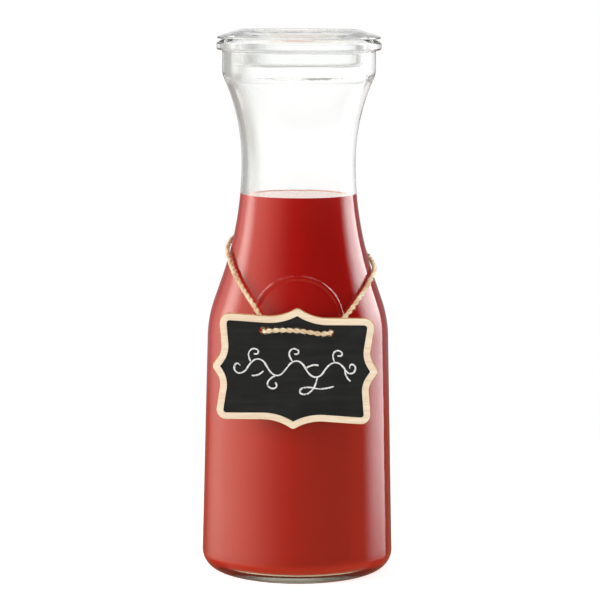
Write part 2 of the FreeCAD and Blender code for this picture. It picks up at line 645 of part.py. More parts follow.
def draw_tag(sheet, sketch):
    """Outline of the tag: four round corners, four points and hollow flanks between them."""
    top_flank = math.degrees(math.asin(sheet.TopArcOffset / (sheet.TipRound + sheet.TopArc)))
    side_flank = flank_angle(sheet)
    # One quarter, from the top point to the side point, gives the lengths of its two lines.
    top_low = sheet.TagHalfHeight - (sheet.TipRound + sheet.TopArc) * (1 - cos(top_flank))
    line_start = (
        sheet.TopArcOffset + sheet.TopArc * sin(sheet.TopSlope),
        top_low + sheet.TopArc * (1 - cos(sheet.TopSlope)),
    )
    waist = sheet.TagHalfWidth - (sheet.TipRound + sheet.SideArc) * (1 - cos(side_flank))
    waist -= sheet.FlankLength * sin(side_flank)
    line_end = (
        waist + sheet.SideArc * (1 - cos(sheet.SideSlope)),
        sheet.SideArcOffset + sheet.SideArc * sin(sheet.SideSlope),
    )
    rise, lean = math.tan(math.radians(sheet.TopSlope)), math.tan(math.radians(sheet.SideSlope))
    corner_x = line_end[0] + (line_start[1] - line_start[0] * rise - line_end[1]) * lean
    corner_x /= 1 - rise * lean
    corner_y = line_start[1] + (corner_x - line_start[0]) * rise
    corner_turn = 90.0 + sheet.TopSlope + sheet.SideSlope
    cut_back = sheet.CornerRound * math.tan(math.radians(corner_turn / 2))
    top_line = (corner_x - line_start[0]) / cos(sheet.TopSlope) - cut_back
    side_line = (corner_y - line_end[1]) / cos(sheet.SideSlope) - cut_back

    tip_fall = sheet.TipRound * (1 - cos(top_flank))
    outline = Outline(sketch, (-sheet.TipRound * sin(top_flank), sheet.TagHalfHeight - tip_fall), top_flank)
    for half in ("a", "b"):
        outline.arc(f"end_tip_{half}", sheet.TipRound, -2 * top_flank)
        outline.arc(f"end_hollow_{half}", sheet.TopArc, top_flank + sheet.TopSlope)
        outline.line(f"end_line_{half}", top_line)
        outline.arc(f"corner_{half}", sheet.CornerRound, -corner_turn)
        outline.line(f"side_line_{half}", side_line)
        outline.arc(f"side_hollow_{half}", sheet.SideArc, sheet.SideSlope + side_flank)
        outline.line(f"flank_{half}", sheet.FlankLength)
        outline.arc(f"side_tip_{half}", sheet.TipRound, -2 * side_flank)
        outline.line(f"back_flank_{half}", sheet.FlankLength)
        outline.arc(f"back_side_hollow_{half}", sheet.SideArc, sheet.SideSlope + side_flank)
        outline.line(f"back_side_line_{half}", side_line)
        outline.arc(f"back_corner_{half}", sheet.CornerRound, -corner_turn)
        outline.line(f"back_end_line_{half}", top_line)
        outline.arc(f"back_end_hollow_{half}", sheet.TopArc, top_flank + sheet.TopSlope)
    outline.close(smooth=True)

    for half, sign in (("a", ""), ("b", "-")):
        outline.radius(f"end_tip_{half}", "Sizes.TipRound")
        outline.radius(f"side_tip_{half}", "Sizes.TipRound")
        outline.rule("PointOnObject", *outline.centre_of(f"end_tip_{half}"), VERTICAL_AXIS)
        outline.rule("PointOnObject", *outline.centre_of(f"side_tip_{half}"), HORIZONTAL_AXIS)
        outline.above(f"end_reach_{half}", outline.centre_of(f"end_tip_{half}"),
                      f"{sign}(Sizes.TagHalfHeight - Sizes.TipRound)")
        outline.across(f"side_reach_{half}", outline.centre_of(f"side_tip_{half}"),
                       f"{sign}(Sizes.TagHalfWidth - Sizes.TipRound)")
        for back, up_sign in (("", sign), ("back_", "" if sign else "-")):
            hollow = f"{back}end_hollow_{half}"
            outline.radius(hollow, "Sizes.TopArc")
            side = f"{back}side_hollow_{half}"
            outline.radius(side, "Sizes.SideArc")
            outline.radius(f"{back}corner_{half}", "Sizes.CornerRound")
            outline.across(f"{hollow}_centre", outline.centre_of(hollow), f"{sign}Sizes.TopArcOffset")
            outline.above(f"{side}_centre", outline.centre_of(side), f"{up_sign}Sizes.SideArcOffset")
            outline.length(f"{back}flank_{half}", "Sizes.FlankLength")
    headings = {
        "end_line_a": "Sizes.TopSlope",
        "side_line_a": "-90 - Sizes.SideSlope",
        "back_side_line_a": "-90 + Sizes.SideSlope",
        "back_end_line_a": "180 - Sizes.TopSlope",
        "end_line_b": "180 + Sizes.TopSlope",
        "side_line_b": "90 - Sizes.SideSlope",
        "back_side_line_b": "90 + Sizes.SideSlope",
        "back_end_line_b": "-Sizes.TopSlope",
    }
    for name, expression in headings.items():
        outline.direction(name, expression)


def extrude_forward(doc, name, source, length):
    """A flat outline of the tag drawn out towards the front."""
    solid = doc.addObject("Part::Extrusion", name)
    solid.Base = source
    solid.DirMode = "Custom"
    solid.Dir = vector(0, -1, 0)
    solid.Solid = True
    solid.setExpression("LengthFwd", length)
    return solid


def inset_outline(doc, name, source, width):
    """A copy of the tag's outline that runs inside it at a constant distance."""
    inner = doc.addObject("Part::Offset2D", name)
    inner.Source = source
    inner.Join = 2
    inner.setExpression("Value", f"-({width})")
    return inner


def hole_pin(doc, name, side):
    """A pin where the twine passes through the tag, longer than the tag is thick."""
    pin = doc.addObject("Part::Cylinder", name)
    pin.setExpression("Radius", "Sizes.HoleRadius")
    pin.setExpression("Height", "Sizes.TagThickness * 3")
    pin.Placement = FreeCAD.Placement(vector(0, 0), FreeCAD.Rotation(vector(1, 0, 0), 90.0))
    pin.setExpression("Placement.Base.x", f"{side}Sizes.HoleSpread")
    pin.setExpression("Placement.Base.y", "Sizes.TagThickness")
    pin.setExpression("Placement.Base.z", "Sizes.HoleRise")
    return pin


def hang(sheet, piece, forward):
    """Put a piece of the tag where the tag hangs: flat along the wall's front, slightly turned."""
    turn = FreeCAD.Rotation(vector(1, 0, 0), -sheet.Draft).multiply(
        FreeCAD.Rotation(vector(0, 1, 0), sheet.TagRoll)
    )
    heel_top = sheet.HeelRound * (1 + sin(sheet.Draft))
    wall = sheet.BodyRadius - (sheet.TagHeight - heel_top) * math.tan(math.radians(sheet.Draft))
    stand_off = (sheet.RingRise + sheet.TagGap) / cos(sheet.Draft)
    place = vector(sheet.TagOffset, -wall - stand_off, sheet.TagHeight)
    piece.Placement = FreeCAD.Placement(place + turn.multVec(vector(0, -forward, 0)), turn)


def make_tag(doc, sheet):
    """The wooden board with its recess and two holes, and the thin black panel in the recess."""
    plate = new_body(doc, "tag_plate")
    sketch = new_sketch(plate, "TagOutline", "XZ_Plane")
    draw_tag(sheet, sketch)
    pad = plate.newObject("PartDesign::Pad", "TagPad")
    pad.Profile = sketch
    pad.setExpression("Length", "Sizes.TagThickness")
    doc.recompute()
    faces = [f"Face{i + 1}" for i, face in enumerate(pad.Shape.Faces)
             if abs(face.normalAt(0, 0).y) > 0.99 and face.Area > 0.3 * pad.Shape.BoundBox.XLength ** 2]
    rounds = plate.newObject("PartDesign::Fillet", "TagRounds")
    rounds.Base = (pad, faces)
    rounds.setExpression("Radius", "Sizes.TagRound")
    doc.recompute()

    pins = doc.addObject("Part::MultiFuse", "HolePins")
    pins.Shapes = [hole_pin(doc, "LeftPin", "-"), hole_pin(doc, "RightPin", "")]
    recess_outline = inset_outline(doc, "RecessOutline", sketch, "Sizes.BorderWidth")
    recess = extrude_forward(doc, "Recess", recess_outline, "Sizes.TagThickness")
    recess.setExpression("Placement.Base.y", "-(Sizes.TagThickness - Sizes.RecessDepth)")
    recessed = doc.addObject("Part::Cut", "RecessedPlate")
    recessed.Base = plate
    recessed.Tool = recess
    board = doc.addObject("Part::Cut", "tag_board")
    board.Base = recessed
    board.Tool = pins
    board.Label = "tag_board"

    panel_outline = inset_outline(doc, "PanelOutline", sketch, "Sizes.BorderWidth + Sizes.PanelGap")
    sheet_of_black = extrude_forward(doc, "PanelSheet", panel_outline, "Sizes.PanelThickness")
    panel = doc.addObject("Part::Cut", "chalk_panel")
    panel.Base = sheet_of_black
    panel.Tool = pins
    panel.Label = "chalk_panel"
    doc.recompute()
    hang(sheet, board, 0.0)
    hang(sheet, panel, sheet.TagThickness - sheet.RecessDepth)
    doc.recompute()
    return board, panel


def round_path(points):
    """The twine's middle line: straight runs joined by tangent arcs, with the arcs' radii."""
    route = [vector(*point) for point in points]
    edges, radii = [], []
    here = route[0]
    for before, corner, after in zip(route, route[1:], route[2:]):
        come, leave = corner - before, after - corner
        shorter = min(come.Length, leave.Length)
        half_turn = come.getAngle(leave) / 2
        back = 0.45 * shorter
        first = corner - come * (back / come.Length)
        last = corner + leave * (back / leave.Length)
        radius = back / math.tan(half_turn)
        bisector = (first + last) * 0.5 - corner
        middle = corner + bisector * (radius * (1 / math.cos(half_turn) - 1) / bisector.Length)
        edges.append(Part.LineSegment(here, first).toShape())
        edges.append(Part.Arc(first, middle, last).toShape())
        radii.append(radius)
        here = last
    edges.append(Part.LineSegment(here, route[-1]).toShape())
    return Part.Wire(edges), radii


def make_twine(doc, sheet):
    """The twine as one tube, from one side of its knot to the other."""
    path, radii = round_path(TWINE_ROUTE)
    heading = path.Edges[0].tangentAt(path.Edges[0].FirstParameter)
    section = Part.Wire(Part.Circle(vector(*TWINE_ROUTE[0]), heading, sheet.TwineRadius).toShape())
    tube = path.makePipeShell([section], True, False)
    expected = math.pi * sheet.TwineRadius**2 * path.Length
    print("twine radii", [round(radius, 1) for radius in radii])
    print(f"twine {path.Length:.1f} long, {tube.Volume:.1f} against {expected:.1f} cubic millimetres")
    if abs(tube.Volume / expected - 1) > 0.02:
        raise RuntimeError("the twine's tube isn't as large as its section and length say")
    twine = doc.addObject("Part::Feature", "twine")
    twine.Shape = tube
    twine.Label = "twine"
    return twine


def make_knot(doc, sheet):
    """The knot at the back, with flat ends for the twine and two short tails."""
    core = new_body(doc, "knot_core")
    sketch = new_sketch(core, "KnotOutline", "XZ_Plane")
    rise = sheet.KnotRadius - sheet.TwineRadius
    bulge = (sheet.KnotHalfLength**2 + rise**2) / (2 * rise)
    turn = dome_turn(bulge, sheet.KnotHalfLength)
    outline = Outline(sketch, (-sheet.KnotHalfLength, 0.0), 90.0)
    outline.line("left_end", sheet.TwineRadius)
    outline.corner(turn - 90.0)
    outline.arc("bulge", bulge, -2 * turn)
    outline.corner(turn - 90.0)
    outline.line("right_end", sheet.TwineRadius)
    outline.corner(-90.0)
    outline.line("axis", 2 * sheet.KnotHalfLength)
    outline.close()
    outline.upright("left_end", "right_end")
    outline.rule("PointOnObject", *outline.start_of("axis"), HORIZONTAL_AXIS)
    outline.rule("PointOnObject", *outline.end_of("axis"), HORIZONTAL_AXIS)
    outline.across("left_reach", outline.start_of("left_end"), "-Sizes.KnotHalfLength")
    outline.across("right_reach", outline.end_of("right_end"), "Sizes.KnotHalfLength")
    outline.length("left_end", "Sizes.TwineRadius")
    outline.length("right_end", "Sizes.TwineRadius")
    bulge_text = "(Sizes.KnotHalfLength ^ 2 + (Sizes.KnotRadius - Sizes.TwineRadius) ^ 2)"
    outline.radius("bulge", f"{bulge_text} / (2 * (Sizes.KnotRadius - Sizes.TwineRadius))")
    revolve(doc, core, sketch, "H_Axis")

    tails = []
    for name, side in (("LeftTail", -1), ("RightTail", 1)):
        tail = doc.addObject("Part::Cylinder", name)
        tail.setExpression("Radius", "Sizes.TailRadius")
        tail.setExpression("Height", "Sizes.TailLength")
        down = FreeCAD.Rotation(vector(1, 0, 0), 180.0 + sheet.TailLean)
        splay = FreeCAD.Rotation(vector(0, 1, 0), -side * sheet.TailSplay)
        tail.Placement = FreeCAD.Placement(vector(side * sheet.TwineRadius, 0, 0), splay.multiply(down))
        tails.append(tail)
    knot = doc.addObject("Part::MultiFuse", "twine_knot")
    knot.Shapes = [core, *tails]
    knot.Label = "twine_knot"
    doc.recompute()
    knot.Placement = FreeCAD.Placement(vector(*KNOT_CENTRE), FreeCAD.Rotation())
    doc.recompute()
    return knot


def check(doc, pieces):
    """Stop if any object failed or any piece isn't one sound solid."""
    for item in doc.Objects:
        if "Invalid" in item.State or "Error" in item.State:
            raise RuntimeError(f"{item.Name} failed: {item.State}")
        if item.isDerivedFrom("Sketcher::SketchObject"):
            state = item.solve()
            print(f"sketch {item.Name}: solve {state}, fully constrained {item.FullyConstrained}")
            if state != 0:
                raise RuntimeError(f"the sketch {item.Name} has no solution")
    for piece in pieces:
        shape = piece.Shape
        if shape.isNull() or not shape.isValid() or len(shape.Solids) != 1:
            raise RuntimeError(f"{piece.Label} isn't one valid solid")
        box = shape.optimalBoundingBox()
        print(f"{piece.Label}: {shape.Volume:.1f} mm3, z {box.ZMin:.2f} to {box.ZMax:.2f}, "
              f"x {box.XMin:.2f} to {box.XMax:.2f}, y {box.YMin:.2f} to {box.YMax:.2f}")


def main():
    doc = FreeCAD.newDocument("filled_bottle")
    sheet = make_sheet(doc)
    bottle = make_bottle(doc, sheet)
    juice = make_juice(doc, sheet)
    lid = make_lid(doc, sheet)
    board, panel = make_tag(doc, sheet)
    twine = make_twine(doc, sheet)
    knot = make_knot(doc, sheet)
    pieces = [bottle, juice, lid, board, panel, twine, knot]
    doc.recompute()
    check(doc, pieces)
    os.makedirs("parts", exist_ok=True)
    for piece in pieces:
        piece.Shape.exportStep(f"parts/{piece.Label}.step")


main()
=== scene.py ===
"""A filled wide-mouth juice bottle with a glass lid and a wooden tag on a twine loop.

Lengths are in metres and angles in degrees. +Z is up, and the bottle stands on the origin with
its front towards -Y.
"""

from __future__ import annotations

import logging
import math
from dataclasses import dataclass
from enum import Enum
from functools import cache
from typing import Callable, ClassVar, Sequence

import bmesh
import bpy
import numpy as np
from mathutils import Matrix, Vector
from mathutils.geometry import tessellate_polygon

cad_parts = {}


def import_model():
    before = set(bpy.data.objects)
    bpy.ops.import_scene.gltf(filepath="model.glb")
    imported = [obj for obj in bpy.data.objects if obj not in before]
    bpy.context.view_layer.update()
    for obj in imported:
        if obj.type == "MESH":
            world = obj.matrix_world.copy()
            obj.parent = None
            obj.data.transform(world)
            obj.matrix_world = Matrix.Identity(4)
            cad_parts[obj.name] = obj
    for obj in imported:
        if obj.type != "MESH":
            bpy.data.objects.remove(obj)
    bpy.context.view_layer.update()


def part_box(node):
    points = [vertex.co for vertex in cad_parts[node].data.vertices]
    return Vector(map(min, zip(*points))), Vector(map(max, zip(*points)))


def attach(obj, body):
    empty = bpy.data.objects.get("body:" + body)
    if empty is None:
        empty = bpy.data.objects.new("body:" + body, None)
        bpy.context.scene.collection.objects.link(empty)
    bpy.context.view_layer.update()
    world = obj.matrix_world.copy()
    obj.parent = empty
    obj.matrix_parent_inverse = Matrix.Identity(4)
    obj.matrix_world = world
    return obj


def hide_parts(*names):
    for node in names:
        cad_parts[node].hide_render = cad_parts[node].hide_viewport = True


LOG = logging.getLogger("bottle")

MM = 0.001
Point2 = tuple[float, float]
Colour = tuple[float, float, float]
Socket = bpy.types.NodeSocket
Piece = bpy.types.Object
Spacing = Callable[[float], float]

WHITE: Colour = (1.0, 1.0, 1.0)
FALLING: Point2 = (1.0, 0.0)


def sin(degrees: float) -> float:
    """Sine of an angle in degrees."""
    return math.sin(math.radians(degrees))


def cos(degrees: float) -> float:
    """Cosine of an angle in degrees."""
    return math.cos(math.radians(degrees))


def tan(degrees: float) -> float:
    """Tangent of an angle in degrees."""
    return math.tan(math.radians(degrees))


def asin(share: float) -> float:
    """Angle in degrees that has this sine."""
    return math.degrees(math.asin(share))


def acos(share: float) -> float:
    """Angle in degrees that has this cosine."""
    return math.degrees(math.acos(share))


def atan(up: float, across: float) -> float:
    """Direction in degrees of a point that lies this far up and across."""
    return math.degrees(math.atan2(up, across))


def srgb(*values: int) -> Colour:
    """A colour given as it looks on screen, 0 to 255, as linear light."""
    shares = [value / 255.0 for value in values]
    return tuple(s / 12.92 if s <= 0.04045 else ((s + 0.055) / 1.055) ** 2.4 for s in shares)


class Slot(Enum):
    """The record's material slots."""

    GLASS = "clear_glass"
    JUICE = "red_juice"
    WOOD = "pale_wood"
    PANEL = "chalkboard"
    TWINE = "jute"


# ---- Half sections and lathe work


class Profile:
    """A half section drawn as a chain of lines and arcs, each running on from the last."""

    MOST_TURN = 6.0  # degrees that an arc may turn between two points
    SHORT_REST = 0.3  # share of a step below which what is left joins it
    NO_LENGTH = 1e-9
    NO_TURN = 1e-7

    def __init__(self, radius: float, height: float, heading: float = 0.0) -> None:
        """Start the chain at a point, heading so many degrees to the left of outwards."""
        self.points: list[Point2] = [(radius, height)]
        self.heading = heading

    def corner(self, turn: float) -> None:
        """Turn on the spot, in degrees to the left."""
        self.heading += turn

    def stride(self, left: float, step: float) -> float:
        """The next step of what is left, which takes in a short rest."""
        return left if left - step < step * self.SHORT_REST else step

    def line(self, length: float, spacing: Spacing | None = None) -> None:
        """Go straight on.

        Args:
            length: How far.
            spacing: Gives the distance to the next point at a height, or None for one step.
        """
        left = length
        while left > self.NO_LENGTH:
            r, z = self.points[-1]
            step = left if spacing is None else self.stride(left, min(left, spacing(z)))
            self.points.append((r + step * cos(self.heading), z + step * sin(self.heading)))
            left -= step

    def arc(self, radius: float, turn: float, spacing: Spacing | None = None) -> None:
        """Go round an arc.

        Args:
            radius: Radius of the arc.
            turn: Degrees that it turns, to the left if positive.
            spacing: As for a line.
        """
        reach = math.copysign(radius, turn)
        r, z = self.points[-1]
        middle_r, middle_z = r - reach * sin(self.heading), z + reach * cos(self.heading)
        left = abs(turn)
        while left > self.NO_TURN:
            step = self.MOST_TURN
            if spacing is not None:
                step = min(step, math.degrees(spacing(self.points[-1][1]) / radius))
            step = self.stride(left, step)
            left -= step
            self.heading += math.copysign(step, turn)
            place = middle_r + reach * sin(self.heading), middle_z - reach * cos(self.heading)
            self.points.append(place)


def link_object(name: str, data: bpy.types.ID | None) -> Piece:
    """Make an object of a mesh, curve, lamp or camera and put it into the scene.

    Args:
        name: Name of the object.
        data: What it shows.

    Returns:
        The object.
    """
    made = bpy.data.objects.new(name, data)
    bpy.context.scene.collection.objects.link(made)
    return made


def solid_object(
    name: str,
    vertices: Sequence[Sequence[float]],
    faces: Sequence[Sequence[int]],
    sharp: float = 38.0,
    merge: float = 1e-7,
    numbers: Sequence[int] | None = None,
) -> Piece:
    """Make a smooth closed mesh object.

    Args:
        name: Name of the object and its mesh.
        vertices: Places of the vertices.
        faces: Vertex numbers of each face.
        sharp: Degrees past which an edge stays sharp.
        merge: Distance below which two vertices become one.
        numbers: Material number of each face of a flat-ended body, or None.

    Returns:
        The object, with its faces pointing outwards.
    """
    mesh = bpy.data.meshes.new(name)
    mesh.from_pydata([tuple(v) for v in vertices], [], faces)
    if numbers is not None:
        mesh.polygons.foreach_set("material_index", numbers)
    work = bmesh.new()
    work.from_mesh(mesh)
    bmesh.ops.remove_doubles(work, verts=work.verts, dist=merge)
    if numbers is not None:
        bmesh.ops.dissolve_degenerate(work, dist=1e-7, edges=work.edges)
    bmesh.ops.recalc_face_normals(work, faces=work.faces)
    work.to_mesh(mesh)
    work.free()
    mesh.shade_smooth()
    mesh.set_sharp_from_angle(angle=math.radians(sharp))
    return link_object(name, mesh)


def lathe(
    name: str,
    section: Sequence[Point2],
    angles: Sequence[float],
    lift: Callable[[np.ndarray, np.ndarray], np.ndarray] | None = None,
    lifted_rows: int = 0,
) -> Piece:
    """Turn a half section round the Z axis.

    Args:
        name: Name of the object.
        section: Points (radius, height) from one place on the axis to another, outside first.
        angles: Degrees round the axis at which the columns stand, 0 at the front.
        lift: Gives how far the outside stands proud at (x, z), or None.
        lifted_rows: How many of the first rows the lift reaches.

    Returns:
        The object, closed and facing outwards.
    """
    rows = np.array(section[1:-1], dtype=float)
    turn = np.radians(np.array(angles, dtype=float))
    radius = np.repeat(rows[:, :1], len(turn), axis=1)
    height = np.repeat(rows[:, 1:], len(turn), axis=1)
    if lift is not None:
        tangent = np.gradient(rows, axis=0)
        tangent /= np.linalg.norm(tangent, axis=1)[:, None]
        proud = lift(radius * np.sin(turn), height)
        proud[:, np.cos(turn) <= 0] = 0.0
        proud[lifted_rows:] = 0.0
        radius = radius + proud * tangent[:, 1:]
        height = height - proud * tangent[:, :1]
    places = np.stack([radius * np.sin(turn), -radius * np.cos(turn), height], axis=2)
    vertices = [*places.reshape(-1, 3), (0.0, 0.0, section[0][1]), (0.0, 0.0, section[-1][1])]
    first, last = len(vertices) - 2, len(vertices) - 1
    count, top = len(turn), (len(rows) - 1) * len(turn)
    faces: list[tuple[int, ...]] = []
    for j in range(count):
        k = (j + 1) % count
        faces.append((first, k, j))
        faces += [(i + j, i + k, i + count + k, i + count + j) for i in range(0, top, count)]
        faces.append((top + j, top + k, last))
    return solid_object(name, vertices, faces)


def even_angles(count: int) -> list[float]:
    """So many columns at even steps round the axis."""
    return [360.0 * i / count for i in range(count)]


# ---- Shader nodes


class Sheet:
    """A node tree with short ways to add nodes and join them."""

    def __init__(self, tree: bpy.types.NodeTree) -> None:
        """Work on a tree."""
        self.tree = tree

    def add(
        self, kind: str, inputs: dict[str | int, object] | None = None, **settings: object
    ) -> bpy.types.Node:
        """Add a node.

        Args:
            kind: Its type name in Blender.
            inputs: Values or sockets for its inputs, by name or number.
            settings: Attributes to set on it first.

        Returns:
            The node.
        """
        node = self.tree.nodes.new(kind)
        for key, value in settings.items():
            setattr(node, key, value)
        for key, value in (inputs or {}).items():
            self.give(node.inputs[key], value)
        return node

    def out(
        self, kind: str, inputs: dict[str | int, object] | None = None, **settings: object
    ) -> Socket:
        """Add a node as above and return its first output."""
        return self.add(kind, inputs, **settings).outputs[0]

    def give(self, socket: Socket, value: object) -> None:
        """Join a socket to an input, or set the input's own value.

        Args:
            socket: The input.
            value: An output to join to it, or a value; a colour may leave out its alpha.
        """
        if isinstance(value, Socket):
            self.tree.links.new(value, socket)
        elif socket.type == "RGBA" and isinstance(value, tuple) and len(value) == 3:
            socket.default_value = (*value, 1.0)
        else:
            socket.default_value = value

    def maths(self, operation: str, a: object, b: object = 0.0, clamp: bool = False) -> Socket:
        """Combine two numbers."""
        return self.out("ShaderNodeMath", {0: a, 1: b}, operation=operation, use_clamp=clamp)

    def times(self, *factors: object) -> Socket:
        """Multiply numbers together.

        Args:
            factors: Two numbers or more.

        Returns:
            Their product.
        """
        product = factors[0]
        for factor in factors[1:]:
            product = self.maths("MULTIPLY", product, factor)
        return product

    def blend(self, share: object, a: object, b: object) -> Socket:
        """A colour that goes from a to b as the share goes from 0 to 1."""
        kind = {"data_type": "RGBA", "clamp_factor": True}
        return self.add("ShaderNodeMix", {0: share, 6: a, 7: b}, **kind).outputs[2]

    def mixed(self, share: object, a: object, b: object) -> Socket:
        """A number that goes from a to b as the share goes from 0 to 1."""
        return self.out("ShaderNodeMix", {0: share, 2: a, 3: b}, data_type="FLOAT")

    def between(self, value: object, low: float, high: float, to: Point2 = (0.0, 1.0)) -> Socket:
        """Spread the range low to high of a number over another range, smoothly."""
        inputs = dict(enumerate((value, low, high, *to)))
        return self.out("ShaderNodeMapRange", inputs, interpolation_type="SMOOTHSTEP")

    def within(self, value: object, up: Point2, down: Point2) -> Socket:
        """A share that rises to 1 over the first range of a number and falls over the second."""
        return self.times(self.between(value, *up), self.between(value, *down, FALLING))

    def noise(self, place: Socket, scale: object, detail: float, roughness: float = 0.5) -> Socket:
        """A noise over a place, from 0 to 1."""
        inputs = {"Vector": place, "Scale": scale, "Detail": detail, "Roughness": roughness}
        return self.out("ShaderNodeTexNoise", inputs)

    def parts(self, vector: Socket) -> tuple[Socket, ...]:
        """The X, Y and Z of a vector."""
        return tuple(self.add("ShaderNodeSeparateXYZ", {0: vector}).outputs)

    def combine(self, x: object, y: object = 0.0, z: object = 0.0) -> Socket:
        """A vector of three numbers."""
        return self.out("ShaderNodeCombineXYZ", {"X": x, "Y": y, "Z": z})

    def place(self) -> Socket:
        """Object coordinates."""
        return self.add("ShaderNodeTexCoord").outputs["Object"]

    def bump(self, height: Socket, strength: float, distance: float) -> Socket:
        """A normal that follows a fine relief."""
        inputs = {"Height": height, "Strength": strength, "Distance": distance}
        return self.out("ShaderNodeBump", inputs)

    def mixed_shaders(self, share: object, a: Socket, b: Socket) -> Socket:
        """A shader that goes from a to b as the share goes from 0 to 1."""
        return self.out("ShaderNodeMixShader", {0: share, 1: a, 2: b})


def new_material(name: str) -> tuple[bpy.types.Material, Sheet, Socket]:
    """Start a material.

    Args:
        name: Name of the material.

    Returns:
        The material, its nodes and the surface input of its output node.
    """
    material = bpy.data.materials.new(name)
    material.use_nodes = True
    material.node_tree.nodes.clear()
    sheet = Sheet(material.node_tree)
    return material, sheet, sheet.add("ShaderNodeOutputMaterial").inputs[0]


class Effect(Enum):
    """The shader node groups that finishes share, with the input that shapes each."""

    MOTTLE = "Fine"
    STREAKS = "Length"


def new_group(name: str, inputs: dict[str, float]) -> tuple[Sheet, dict[str, Socket]]:
    """Start a shader node group.

    Args:
        name: Name of the group.
        inputs: Its numbers and their defaults; it also takes a Place.

    Returns:
        The group's nodes, and its sockets inside: its inputs, and the Value it puts out.
    """
    tree = bpy.data.node_groups.new(name, "ShaderNodeTree")
    face = tree.interface
    face.new_socket(name="Place", in_out="INPUT", socket_type="NodeSocketVector")
    for key, value in inputs.items():
        item = face.new_socket(name=key, in_out="INPUT", socket_type="NodeSocketFloat")
        item.default_value = value
    face.new_socket(name="Value", in_out="OUTPUT", socket_type="NodeSocketFloat")
    sheet = Sheet(tree)
    at = {s.name: s for s in sheet.add("NodeGroupInput").outputs if s.name}
    at["Value"] = sheet.add("NodeGroupOutput").inputs["Value"]
    return sheet, at


@cache
def mottle() -> bpy.types.NodeTree:
    """Soft patches: a broad noise with a finer one over it, from 0 to 1.

    Returns:
        The group, built once.
    """
    sheet, at = new_group("soft_patches", {"Scale": 60.0, "Fine": 0.3})
    broad = sheet.noise(at["Place"], at["Scale"], 3.0, 0.55)
    finer = sheet.noise(at["Place"], sheet.times(at["Scale"], 7.3), 4.0)
    added = sheet.times(sheet.maths("SUBTRACT", finer, 0.5), at["Fine"])
    sheet.give(at["Value"], sheet.maths("ADD", broad, added, clamp=True))
    return sheet.tree


@cache
def streaks() -> bpy.types.NodeTree:
    """Long thin streaks that run along X of the place given, from 0 to 1.

    Returns:
        The group, built once.
    """
    sheet, at = new_group("long_streaks", {"Scale": 900.0, "Length": 14.0})
    x, y, z = sheet.parts(at["Place"])
    drawn = sheet.combine(sheet.maths("DIVIDE", x, at["Length"]), y, z)
    sheet.give(at["Value"], sheet.noise(drawn, at["Scale"], 5.0, 0.62))
    return sheet.tree


# ---- Finishes


@dataclass(frozen=True)
class Pattern:
    """One of the patterns over a surface, from 0 to 1."""

    effect: Effect
    scale: float
    shape: float  # how strong a mottle's finer noise is, or how long a streak
    weight: float = 1.0
    attribute: str | None = None  # that it follows, where it isn't the place on the object

    def value(self, sheet: Sheet) -> Socket:
        """Add the pattern.

        Args:
            sheet: The material's nodes.

        Returns:
            Its value.
        """
        if self.attribute is None:
            place = sheet.place()
        else:
            follow = sheet.add("ShaderNodeAttribute", attribute_name=self.attribute)
            place = follow.outputs["Vector"]
        inputs = {"Place": place, "Scale": self.scale, self.effect.value: self.shape}
        tree = mottle() if self.effect is Effect.MOTTLE else streaks()
        return sheet.out("ShaderNodeGroup", inputs, node_tree=tree)


@dataclass(frozen=True)
class Finish:
    """What every finish shares: its name, and how its material is made from its shader."""

    name: str

    def shader(self, sheet: Sheet) -> Socket:
        """Add the shader's nodes and return the shader."""
        raise NotImplementedError

    @cache
    def material(self) -> bpy.types.Material:
        """Make the material.

        Returns:
            The material, made once.
        """
        material, sheet, surface = new_material(self.name)
        sheet.give(surface, self.shader(sheet))
        return material


@dataclass(frozen=True)
class ClearGlass(Finish):
    """Pressed clear glass with a faint wave in its surface, tinted in its thick foot."""

    name: str = "clear_glass"
    tint: Colour = (0.995, 1.0, 0.997)
    roughness: float = 0.0
    ior: float = 1.5
    foot_tint: Colour = (0.80, 0.80, 0.64)
    foot_height: Point2 = (2.5 * MM, 7.0 * MM)
    waves: Pattern = Pattern(Effect.MOTTLE, 75.0, 0.08)
    wave_height: float = 0.06 * MM

    def shader(self, sheet: Sheet) -> Socket:
        """Add the shader's nodes: glass, which lets light through to what it holds.

        Args:
            sheet: The material's nodes.

        Returns:
            The shader.
        """
        height = sheet.parts(sheet.place())[2]
        foot = sheet.between(height, *self.foot_height)
        inputs = {
            "Base Color": sheet.blend(foot, self.foot_tint, self.tint),
            "Roughness": self.roughness,
            "IOR": self.ior,
            "Transmission Weight": 1.0,
            "Normal": sheet.bump(self.waves.value(sheet), 1.0, self.wave_height),
        }
        glass = sheet.out("ShaderNodeBsdfPrincipled", inputs)
        clear = sheet.out("ShaderNodeBsdfTransparent", {"Color": self.tint})
        shade = sheet.add("ShaderNodeLightPath").outputs["Is Shadow Ray"]
        return sheet.mixed_shaders(shade, glass, clear)


